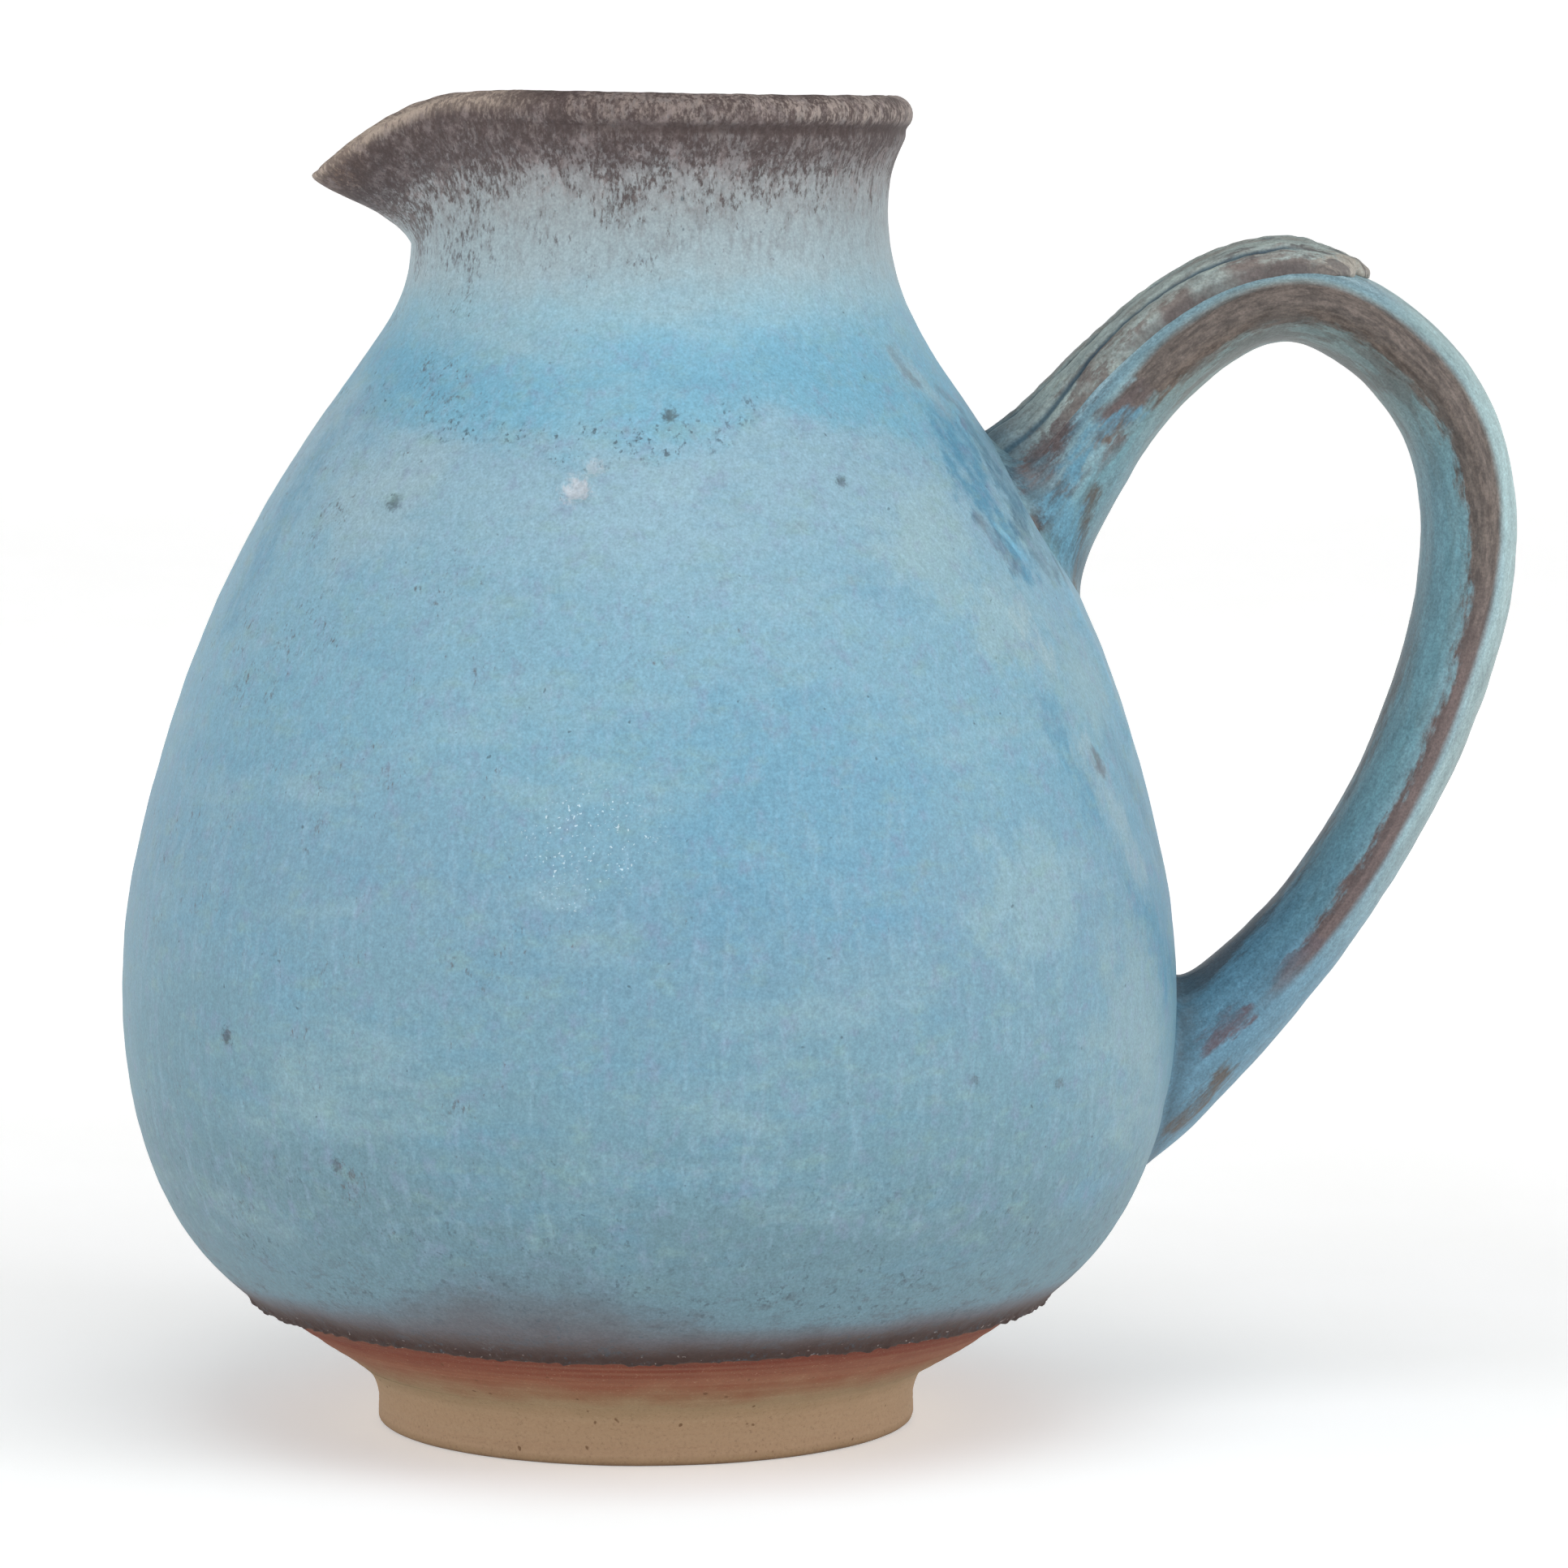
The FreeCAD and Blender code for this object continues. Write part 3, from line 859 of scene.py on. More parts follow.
    def near(self, x, y, z, radius, grit=0.5):
        """1 close to a point, falling to 0 at the radius, with an outline made ragged by noise."""
        away = self.vector("DISTANCE", self.mm, (x, y, z))
        wobble = self.centred(radius * grit, 5, 0.68, seed=x * 0.1)
        away = self.times(wobble, 2.2 * radius, away)
        return self.span(away, radius, radius * 0.3)

    def shade(self, *layers):
        """Makes the colour lighter and darker by noises, each given with how strongly it acts."""
        for value, strength in layers:
            factor = self.times(self.minus(value, 0.5), strength, 1)
            self.colour = self.vector("SCALE", self.colour, scale=factor)

    def near_line(self, start, end, radius, ragged):
        """1 along the line between two points, falling to 0 at the radius, moved by ragged."""
        line = Vector(end) - Vector(start)
        from_start = self.vector("SUBTRACT", self.mm, start)
        share = self.vector("DOT_PRODUCT", from_start, line / line.length_squared)
        share = self.math("MINIMUM", self.math("MAXIMUM", share, 0), 1)
        away = self.vector("DISTANCE", from_start, self.vector("SCALE", line, scale=share))
        away = self.times(ragged, radius, away)
        return self.span(away, radius, radius * 0.3)

    def marks(self, rows, ragged, worn):
        """Marks drawn over the colour and worn by a noise. Each row is a colour and its lines."""
        worn = self.span(worn, 0.32, 0.60, 0.35, 1)
        for rgb, lines in rows:
            cover = 0
            for start, end, radius, share in lines:
                spot = self.times(self.near_line(start, end, radius, ragged), share)
                cover = self.math("MAXIMUM", cover, spot)
            self.paint(rgb, cover, worn)

    def mottle(self, upright=1):
        """The two fine noises of every glaze outside. upright draws out the second along Z."""
        fine = self.noise(0.36, 1, 0.5, seed=37)
        return fine, self.noise(0.85, 3, 0.7, (1, 1, upright), 31)

    def bumps(self, grain, size):
        """The fine relief of every glaze outside."""
        return self.times(self.noise(size, 3, 0.7, seed=83), 0.6, self.times(grain, 0.5))

    def finish(self, roughness, height, depth, specular=0.5):
        """Puts colour and roughness on the surface, and the height times depth, in mm, as bump."""
        bump = self.add("ShaderNodeBump", Height=height, Strength=1, Distance=depth * MM)
        self.put(self.surface, "Base Color", self.colour)
        self.put(self.surface, "Roughness", roughness)
        self.put(self.surface, "Normal", bump.outputs["Normal"])
        self.put(self.surface, "Specular IOR Level", specular)
        return self.material


def on_wall(turn, height):
    """A point of the glazed wall, by its turn from the camera's side in degrees and its height."""
    way = WALL.way_at_height(height)
    point = WALL.points(way, math.radians(CAMERA_SIDE + turn), GLAZE)
    return [float(v) for v in point]


# Colours of the wall's glaze by height, without the rim and the hem. They are darker low on the
# belly and lighter up the shoulder, partly as painted shade and light.
BANDS_AND_PAINTED_SHADE = [
    (15, (98, 129, 141)),
    (36, (102, 134, 146)),
    (46, (108, 144, 158)),
    (60, (112, 150, 166)),
    (80, (113, 152, 172)),
    (100, (117, 161, 181)),
    (120, (125, 166, 185)),
    (134, (138, 172, 188)),
    (140, (136, 171, 188)),
    (144, (118, 168, 190)),
    (150, (112, 166, 190)),
    (155, (120, 170, 192)),
    (160, (138, 174, 188)),
    (166, (148, 169, 177)),
    (175, (144, 157, 162)),
    (190, (146, 156, 158)),
]

# Colours of the rim by how far below the crest in mm, before its dark dashes are drawn.
RIM_BANDS = [
    (0, (126, 112, 106)),
    (3, (114, 102, 98)),
    (5.5, (102, 92, 90)),
    (9, (122, 116, 117)),
    (12, (144, 147, 149)),
    (17, (145, 156, 160)),
    (24, (148, 165, 172)),
]

# Colours of the hem by how far above the glaze's lower edge in mm. Above the brown edge they are
# darker, partly as painted shade low on the belly.
HEM_BANDS = [
    (0, (52, 36, 31)),
    (2, (60, 42, 37)),
    (4.5, (77, 68, 68)),
    (7.5, (88, 88, 94)),
    (12, (93, 103, 111)),
    (18, (97, 120, 132)),
    (26, (102, 132, 144)),
]

# Clouds on the wall: turn from the camera's side, height, radius in mm, share, colour, grit.
# Grit is the size of the ragged detail at the outline, as a share of the radius.
PATCHES = [
    (-44, 133, 15, 0.40, (156, 178, 186), 0.5),
    (-28, 126, 16, 0.20, (142, 176, 190), 0.5),
    (43, 128, 12, 0.45, (152, 180, 184), 0.5),
    (51, 117, 9, 0.50, (158, 184, 188), 0.5),
    (45, 81, 14, 0.45, (146, 176, 182), 0.5),
    (17, 92, 24, 0.45, (98, 152, 180), 0.5),
    (2, 70, 20, 0.25, (104, 148, 172), 0.5),
    (-62, 92, 26, 0.25, (104, 150, 172), 0.5),
    (-60, 55, 24, 0.35, (96, 132, 146), 0.5),
    (-50, 62, 1.6, 0.85, (66, 78, 84), 0.4),
    (-35, 46, 1.3, 0.85, (70, 82, 90), 0.4),
    (-41, 134, 1.8, 0.75, (78, 96, 104), 0.4),
    (3.5, 146, 1.5, 0.80, (70, 86, 94), 0.4),
    (30.8, 137, 1.3, 0.75, (76, 94, 102), 0.4),
    (35.5, 57.5, 1.2, 0.70, (84, 102, 112), 0.4),
    (48, 55.5, 1.1, 0.65, (88, 104, 112), 0.4),
    (-11, 136.2, 2.7, 0.90, (182, 190, 198), 0.4),
    (-8.6, 139.2, 1.9, 0.70, (172, 186, 196), 0.4),
    (64, 64, 18, 0.35, (146, 168, 170), 0.5),
    (66, 108, 12, 0.35, (150, 176, 178), 0.5),
]

# Flows and smudges of the wall beside the handle, and painted shade along its seam: for each colour,
# lines with their two ends (turn from the camera's side, height), half width in mm and share.
WALL_MARKS_AND_SHADE = [
    ((82, 138, 166), [
        ((64, 143), (61, 135), 8, 0.9),
        ((61, 135), (63, 125), 6, 0.9),
        ((56, 103), (61, 92), 5, 0.5),
        ((66, 78), (76, 66), 5.5, 0.6),
        ((-68, 140), (-70, 118), 7, 0.5),
    ]),
    ((164, 182, 186), [
        ((61, 99), (68.8, 82), 4.8, 0.45),
        ((59, 112), (57, 118), 4, 0.5),
        ((59.5, 153), (66, 146), 3.2, 0.4),
    ]),
    # dark teal beside the handle; the upper line is a painted shadow along its seam
    ((70, 112, 134), [
        ((70.5, 100), (80, 83), 4, 0.35),
        ((74, 143), (72.5, 131), 4.4, 0.7),
    ]),
    ((92, 92, 100), [
        ((57.2, 131), (60.2, 124.8), 2.4, 0.5),
        ((63.8, 98.4), (64.2, 96.8), 2, 0.7),
        ((59.2, 154), (60.8, 149.6), 1.6, 0.45),
        ((69, 148.4), (74.5, 146.2), 1.6, 0.4),
    ]),
    # darker teal: a painted shadow in the seam under the handle's upper root
    ((58, 86, 102), [
        ((68.8, 129), (72.2, 123.5), 4, 0.5),
        ((77, 124), (76, 121), 1.5, 0.6),
    ]),
    ((122, 178, 204), [
        ((61, 130), (65, 125.2), 1.1, 0.85),
        ((76.8, 119.5), (79, 108), 2.6, 0.85),
        ((79, 108), (80, 98), 1.4, 0.6),
    ]),
]


# Veils over the belly: colour, size in mm, stretch, seed, the noise that covers fully, strength.
VEILS = [
    ((140, 170, 190), 1.7, (1, 1, 7), 49, 0.70, 0.30),
    ((128, 142, 170), 2.8, (1, 1, 1.2), 44, 0.74, 0.42),
    ((130, 162, 158), 3.6, (1.4, 1.4, 0.8), 47, 0.74, 0.38),
]

BLUE_EDGE = 143  # height in mm of the deep blue band's lower edge
PAINTED_GLINT_SPOT = (-7, 91)  # a spot of painted glints, white specks that stand in for highlights, by its turn from the camera's side and its height
PAINTED_GLINT_RADIUS = 13

# Where the handle's roots meet the wall: middle (x, y, z), and how far the wall is painted darker
# round them.
HANDLE_FEET = [
    ((47, 0, 132), 21),
    ((76, 0, 53), 17),
]


def wall_bands(s):
    """The bands by height, with their painted shade low on the belly. Returns the uneven height in
    mm that they follow.
    """
    slow = s.centred(38, 2, 0.55, (1, 1, 0.7), 3)
    small = s.centred(4, 5, 0.66, (1.5, 1.5, 0.7), 9)
    slow_reach = s.minus(s.span(s.z, 95, 140, 6, 22), s.span(s.z, 150, 172, 0, 18))
    small_reach = s.span(s.z, 130, 150, 12, 8)
    level = s.times(slow, slow_reach, s.z)
    level = s.times(small, small_reach, level)
    tilt = s.where((s.x, -10, -44, 0, 6), (s.z, 158, 150))
    level = s.minus(level, tilt)
    s.colour = s.ramp(level, BANDS_AND_PAINTED_SHADE, 15, 190)
    return level


def clouds(s, on_belly):
    """Pale and deep clouds, the darkening round the handle's roots, and the placed clouds."""
    pale_cloud = s.span(s.noise(19, 6, 0.66, (1.5, 1.5, 0.6), 12), 0.50, 0.70)
    s.paint((150, 178, 184), s.times(pale_cloud, on_belly), 0.36)
    deep_cloud = s.span(s.noise(13, 6, 0.66, (1.6, 1.6, 0.6), 21), 0.50, 0.72)
    s.paint((98, 148, 174), s.times(deep_cloud, on_belly), 0.40)
    for middle, reach in HANDLE_FEET:
        shade = s.span(s.vector("DISTANCE", s.mm, middle), reach, reach * 0.55, 0, 0.45)
        s.paint((84, 122, 142), shade)
    for turn, height, radius, share, rgb, grit in PATCHES:
        s.paint(rgb, s.near(*on_wall(turn, height), radius, grit), share)


def wall_flows_and_shade(s):
    """The flows, smudges and painted seam shadow of WALL_MARKS_AND_SHADE, drawn on the wall and worn
    by a noise.
    """
    ragged = s.times(s.centred(2.6, 5, 0.64, (1, 1, 1.6), 41), 2.2)
    rows = []
    for rgb, lines in WALL_MARKS_AND_SHADE:
        drawn = [(on_wall(*start), on_wall(*end), *size) for start, end, *size in lines]
        rows.append((rgb, drawn))
    s.marks(rows, ragged, s.noise(2.4, 4, 0.62, (1, 1, 1.8), 43))


def rim_bands(s, below_crest):
    """Tan over the lip's bead, then brown, closing down to the pale neck."""
    ragged = s.centred(3, 4, 0.7, (1, 1, 1.6), 105)
    rim_level = s.times(ragged, 7, below_crest)
    rim_colour = s.ramp(rim_level, RIM_BANDS, 0, 24)
    s.paint(rim_colour, s.span(rim_level, 25, 14))


def rim_tones(s, below_crest, off_spout):
    """The bead and the band under it, paler away from the spout, and the spout's tan beak."""
    bead = s.times(s.span(below_crest, 4.4, 3.4), s.times(off_spout, 0.8, 0.1))
    s.paint((157, 145, 138), bead)
    pale = s.where((below_crest, 5.2, 6.6), (below_crest, 16, 10))
    s.paint((134, 132, 130), s.times(pale, off_spout), 0.25)
    beak = s.where((s.x, -37, -44), (below_crest, 9, 3))
    s.paint((148, 122, 104), beak, 0.8)


def hem_bands(s, above_hem):
    """Brown at the glaze's edge, then a smudged mauve haze, wider at both sides of the view."""
    smudge = s.centred(4, 5, 0.7, (1.6, 1.6, 0.7), 115)
    drift = s.centred(7, 4, 0.62, (2.2, 2.2, 0.6), 118)
    right, left = s.span(s.x, -18, 22, 1, 2.3), s.span(s.x, -26, -56, 1, 2.4)
    hem_level = s.times(smudge, 8, s.times(above_hem, s.math("MAXIMUM", right, left)))
    hem_level = s.times(drift, 3, hem_level)
    at_edge = s.span(above_hem, 3, 9, 1, 0)
    hem_level = s.times(at_edge, s.minus(above_hem, hem_level), hem_level)
    hem_colour = s.ramp(hem_level, HEM_BANDS, 0, 26)
    s.paint(hem_colour, s.span(hem_level, 26, 14))
    soot = s.span(s.noise(2.2, 5, 0.72, (1.7, 1.7, 0.8), 121), 0.50, 0.66)
    soot = s.times(soot, s.where((above_hem, 26, 9), (above_hem, 1, 5)))
    s.paint((78, 84, 92), soot, 0.50)


def veils(s, on_belly):
    """The thin veils of other tones over the belly."""
    for rgb, size, stretch, seed, full, strength in VEILS:
        veil = s.noise(size, 4, 0.62, stretch, seed)
        veil = s.times(s.span(veil, 0.50, full, 0, strength), on_belly)
        s.paint(rgb, veil)


def specks(s, level):
    """Dark specks along the lower edge of the deep blue band, low on the belly, and anywhere, and
    painted white glints.
    """
    grit = s.noise(0.9, 3, 0.6, (1, 1, 1.4), 57)
    from_edge = s.math("ABSOLUTE", s.minus(level, BLUE_EDGE))
    crowd = s.where((s.noise(12, 2, 0.6, seed=61), 0.38, 0.54), (s.x, 24, 0, 0.3, 1))
    few = s.times(s.span(from_edge, 4, 0.5), crowd)
    low = s.span(s.z, 58, 30)
    low = s.times(low, s.span(s.noise(7, 3, 0.6, (1.6, 1.6, 0.7), 63), 0.42, 0.62))
    few = s.times(s.math("MAXIMUM", few, s.times(low, 0.75)), s.span(grit, 0.55, 0.68))
    s.paint((62, 78, 88), few, 0.8)
    # Painted highlights: a few tiny white specks that stand in for glints of light on the glaze.
    painted_glints = s.near(*on_wall(*PAINTED_GLINT_SPOT), PAINTED_GLINT_RADIUS)
    painted_glints = s.times(painted_glints, s.span(s.noise(0.45, 1, 0.5, seed=73), 0.66, 0.72))
    s.paint((198, 218, 228), painted_glints, 0.8)
    pits = s.span(s.noise(1.2, 1, 0.5, seed=71), 0.76, 0.82)
    s.paint((62, 82, 92), pits, 0.6)


def rim_dashes(s, below_crest, off_spout):
    """Short upright dashes of the dark body in the rim, most of them below the lip."""
    haze = s.where((s.noise(1.5, 4, 0.7, (1, 1, 2.4), 99), 0.44, 0.66), (below_crest, 32, 14))
    s.paint((106, 104, 106), haze, 0.48)
    dash = s.noise(0.55, 4, 0.68, (1, 1, 2.4), 101)
    dash = s.times(s.centred(4.2, 4, 0.66, (1, 1, 1.2), 103), 0.62, dash)
    dash = s.times(s.centred(12, 3, 0.6, seed=107), 0.45, dash)
    # How high the noise has to reach for a dash to show.
    needed = s.span(below_crest, 33, 18, 0.75, 0.59)
    needed = s.minus(needed, s.span(below_crest, 18, 7, 0, 0.17))
    at_bead = s.times(off_spout, s.span(below_crest, 4.6, 3.6, 0.12, 0.14))
    needed = s.math("ADD", needed, at_bead)
    needed = s.math("ADD", needed, s.span(s.x, -26, -18, -0.06, 0))
    lower_down = s.where((s.x, -6, 14), (below_crest, 21, 14))
    needed = s.times(lower_down, -0.08, needed)
    dark = s.span(s.minus(dash, needed), -0.07, 0.12)
    worn = s.span(s.noise(0.8, 5, 0.75, (1, 1, 1.5), 111), 0.46, 0.64, 0.90, 0.50)
    dash_colour = s.mix(s.span(below_crest, 15, 26), (66, 53, 52), (92, 96, 102))
    s.paint(dash_colour, dark, worn)
    return dash


def rim_wear(s, below_crest, dash):
    """A pale bloom over the rim, the worn crest of the spout, and a painted shadow in the groove in
    the lip.
    """
    bloom = s.where((s.noise(2.4, 5, 0.72, (1, 1, 1.3), 113), 0.50, 0.68), (below_crest, 20, 12))
    s.paint((144, 132, 131), bloom, 0.40)
    crest_line = s.where((below_crest, 3.6, 1.6), (s.x, -14, -26), (dash, 0.62, 0.42, 0.3, 0.9))
    s.paint((172, 157, 144), crest_line)
    # painted shadow: a dark line in the lip's groove, under its bead
    groove = s.span(s.math("ABSOLUTE", s.minus(below_crest, LIP_GROOVE)), 1.1, 0.2)
    groove = s.times(groove, s.span(s.x, -24, 6))
    s.paint((64, 52, 50), groove, 0.65)


def turquoise_wall():
    """The outside glaze: bands by height, cloudy and mottled, with dark specks at rim and hem."""
    s = Shader("turquoise_glaze_wall")
    above_hem, below_crest = s.attribute("above_hem"), s.attribute("below_crest")
    level = wall_bands(s)
    on_belly = s.where((s.z, 24, 40), (s.z, 172, 150))
    clouds(s, on_belly)
    wall_flows_and_shade(s)
    rim_bands(s, below_crest)
    off_spout = s.span(s.x, -16, 38)
    rim_tones(s, below_crest, off_spout)
    hem_bands(s, above_hem)
    veils(s, on_belly)
    specks(s, level)
    dash = rim_dashes(s, below_crest, off_spout)
    rim_wear(s, below_crest, dash)
    crumbs = s.where((s.noise(0.7, 1, 0.5, seed=119), 0.70, 0.76), (above_hem, 4, 1))
    s.paint((168, 158, 154), crumbs, 0.7)
    fine, grain = s.mottle(upright=1.4)
    s.shade((fine, 0.48), (grain, 0.58))

    rim = s.span(below_crest, 18, 6)
    hem = s.span(above_hem, 9, 2)
    roughness = s.times(grain, 0.20, 0.40)
    roughness = s.times(s.math("MAXIMUM", rim, hem), 0.18, roughness)
    height = s.bumps(grain, 0.55)
    height = s.times(s.noise(3.2, 2, 0.6, seed=91), 0.9, height)
    return s.finish(roughness, height, 0.12, specular=0.35)


# Marks on the handle, and painted shade where its roots meet the wall: for each colour, lines with
# their two ends (x, y, z), half width and share.
# The near flank is at -Y. The far one has marks of its own.
HANDLE_MARKS_AND_SHADE = [
    ((94, 83, 83), [
        ((58.2, -12, 142.4), (54.8, -12, 137.4), 4.6, 1),
        ((66, -12, 151.5), (60.5, -12, 145.5), 2.3, 0.85),
        ((69.5, -12, 147.5), (64.5, -12, 144.6), 2.5, 0.9),
        ((66.5, -12, 141), (62.5, -12, 136.5), 1.7, 0.7),
        ((66, 12, 147.5), (60.5, 12, 142), 2.4, 0.85),
    ]),
    ((80, 72, 66), [
        ((62.8, -12, 134.5), (61, -10, 120), 1.9, 0.9),
        ((76, -9, 42), (83, -9, 49), 3.2, 0.95),
        ((66.5, 12, 137.5), (62, 10, 122), 2.2, 0.85),
        ((80.5, 9, 45.5), (86.5, 9, 52.5), 1.8, 0.8),
    ]),
    ((92, 142, 164), [
        ((69.5, -12, 145.2), (62.2, -12, 142), 1.7, 0.85),
        ((62.2, -12, 142), (57, -12, 131), 2.6, 0.9),
        ((57.5, -12, 131.5), (58.5, -12, 124), 4.4, 0.95),
        ((71.5, 12, 147.5), (64, 12, 139), 2.6, 0.85),
        ((64, 12, 139), (58, 12, 127), 3.8, 0.85),
    ]),
    ((88, 82, 92), [
        ((79.4, -10, 54), (85.6, -10, 59), 2.1, 1),
        ((95.5, -10, 69), (90, -10, 63.5), 1.8, 0.5),
        ((78, 10, 57.5), (83, 10, 54), 1.8, 0.8),
    ]),
    # dark teal at the roots' crotches: darker pooled glaze and painted shade
    ((60, 90, 106), [
        ((47.5, -10, 142.5), (49.5, -12, 137), 3.4, 0.85),
        ((49.5, -12, 137), (53, -12, 131), 1.6, 0.8),
        ((76.4, -9, 63.5), (76.2, -9, 57), 1.4, 0.8),
        ((60, -12, 119.5), (62.5, -11, 116), 2, 0.5),
    ]),
]


CREASE_LIFT = 4.6  # how far out of the handle's middle the thumb strip's edge lies, in mm

# Colours across the handle by how far out of its middle, in mm: inward slope, edge, outward slope.
# Over the teal glaze, the outward slope is painted lighter and the inward slope darker, as painted
# light and shade.
HANDLE_SLOPES_LIT_AND_SHADED = [
    (-8, (104, 136, 146)),
    (-5.5, (108, 144, 155)),
    (-3.5, (110, 151, 162)),
    (-1.8, (116, 153, 164)),
    (1.8, (138, 167, 176)),
    (3.5, (152, 180, 184)),
    (6, (158, 184, 186)),
    (8, (150, 172, 172)),
]


def handle_tones(s, along, lift, ragged, cloud):
    """Grey-green under the arch, partly painted shade, blue at the roots, and a glossy stripe beside
    the thumb strip.
    """
    # grey-green glaze under the arch, darkened there as painted shade
    arch = s.where((along, 0.10, 0.20), (along, 0.50, 0.36))
    under = s.times(s.span(s.times(ragged, 3, lift), 0.2, -2), arch)
    s.paint((122, 136, 132), under, 0.85)
    high_root = s.where((along, 0.24, 0.12), (lift, 1, 4))
    s.paint((104, 144, 160), high_root, 0.6)
    lower_back = s.where((along, 0.48, 0.64), (lift, 1.5, 4.5))
    s.paint((122, 140, 142), lower_back, 0.60)
    low_root = s.span(s.times(cloud, 0.16, along), 0.66, 0.88)
    s.paint((84, 128, 152), low_root, 0.85)
    gloss = s.where((lift, 2.8, 3.8), (lift, 6.5, 5), (along, 0.37, 0.33))
    s.paint((118, 150, 164), gloss, 0.75)
    return under, gloss


def painted_crease_highlight(s, along, lift, ragged):
    """A painted highlight: the pale line where the thumb strip lies on the strap."""
    crease_highlight = s.math("ABSOLUTE", s.minus(s.times(ragged, 0.8, lift), CREASE_LIFT))
    crease_highlight = s.where((crease_highlight, 0.45, 0.1), (along, 0.10, 0.15), (along, 0.35, 0.31))
    s.paint((168, 196, 206), crease_highlight, 0.6)


def brown_ridge(s, along, lift, ragged, cloud):
    """Where the brown shows along a side edge: crisp outwards, mottled inwards, thin low down."""
    reach = s.minus(s.span(along, 0.10, 0.20, 1.4, 2.9), s.span(along, 0.44, 0.62, 0, 1.5))
    middle = s.span(along, 0.30, 0.62, 0.10, 0.45)
    inward = s.span(s.minus(lift, middle), 0.6, -0.8)
    off = s.math("ABSOLUTE", s.minus(lift, middle))
    off = s.times(ragged, s.times(inward, 5, 0.8), off)
    ridge = s.span(s.minus(off, reach), 0.8, -0.7)
    ridge = s.times(ridge, s.span(s.times(cloud, 0.1, along), 0.87, 0.80))
    breaks = s.times(s.span(along, 0.13, 0.20), 0.4, s.noise(8, 3, 0.6, seed=37))
    return s.times(ridge, s.span(breaks, 0.46, 0.58))


def handle_browns(s, along, lift, ragged, cloud, flow, under):
    """The brown along both side edges, flecks of it under the arch, and a line low inside."""
    ridge = brown_ridge(s, along, lift, ragged, cloud)
    streak = s.noise(0.9, 4, 0.7, seed=35, place=flow)
    brown = s.mix(s.span(streak, 0.34, 0.66), (72, 55, 46), (110, 94, 85))
    brown = s.mix(s.span(along, 0.50, 0.62), brown, (98, 78, 74))
    s.paint(brown, ridge, 0.92)
    flecks = s.times(s.span(s.times(cloud, 8, streak), 0.4, 0.9), under)
    s.paint((92, 86, 82), flecks, 0.6)
    inner_line = s.where((s.times(ragged, 3, lift), -5.5, -6.5), (along, 0.52, 0.64))
    s.paint((70, 66, 68), inner_line, 0.75)
    return ridge


def turquoise_handle():
    """The handle's glaze: teal inwards and pale on the outward slope, partly painted light and
    shade, brown where it ran thin.
    """
    s = Shader("turquoise_glaze_handle")
    along, lift, pool_and_shade = s.attribute("along"), s.attribute("lift"), s.attribute("pool_and_shade")
    flow = s.add("ShaderNodeCombineXYZ", X=s.times(along, 60), Y=lift, Z=s.y).outputs[0]
    fine, grain = s.mottle()
    ragged = s.centred(1.5, 5, 0.72, seed=23, place=flow)
    cloud = s.centred(6, 5, 0.66, seed=14, place=flow)
    # painted light on the outward slope and painted shade on the inward one
    s.colour = s.ramp(s.times(cloud, 7, lift), HANDLE_SLOPES_LIT_AND_SHADED, -8, 8)
    dull = s.span(s.noise(5, 5, 0.66, seed=16, place=flow), 0.50, 0.66)
    s.paint((112, 134, 138), dull, 0.45)
    under, gloss = handle_tones(s, along, lift, ragged, cloud)
    painted_crease_highlight(s, along, lift, ragged)
    ridge = handle_browns(s, along, lift, ragged, cloud, flow, under)
    # painted shade and darker pooled glaze where the handle meets the wall
    s.paint((56, 86, 102), pool_and_shade, 0.75)
    blotch = s.noise(1.6, 4, 0.7, seed=45, place=flow)
    s.marks(HANDLE_MARKS_AND_SHADE, s.times(ragged, 3), blotch)
    s.shade((fine, 0.75), (grain, 0.80), (blotch, 0.9))

    roughness = s.times(grain, 0.2, 0.36)
    roughness = s.times(ridge, 0.22, roughness)
    roughness = s.times(gloss, -0.2, roughness)
    height = s.times(ridge, -0.5, s.bumps(grain, 0.6))
    return s.finish(roughness, height, 0.13, specular=0.4)


# Colours of the thumb strip by a noise.
STRIP_TONES = [
    (0.30, (122, 116, 111)),
    (0.42, (140, 146, 142)),
    (0.52, (152, 165, 163)),
    (0.62, (166, 178, 172)),
    (0.70, (140, 134, 128)),
]


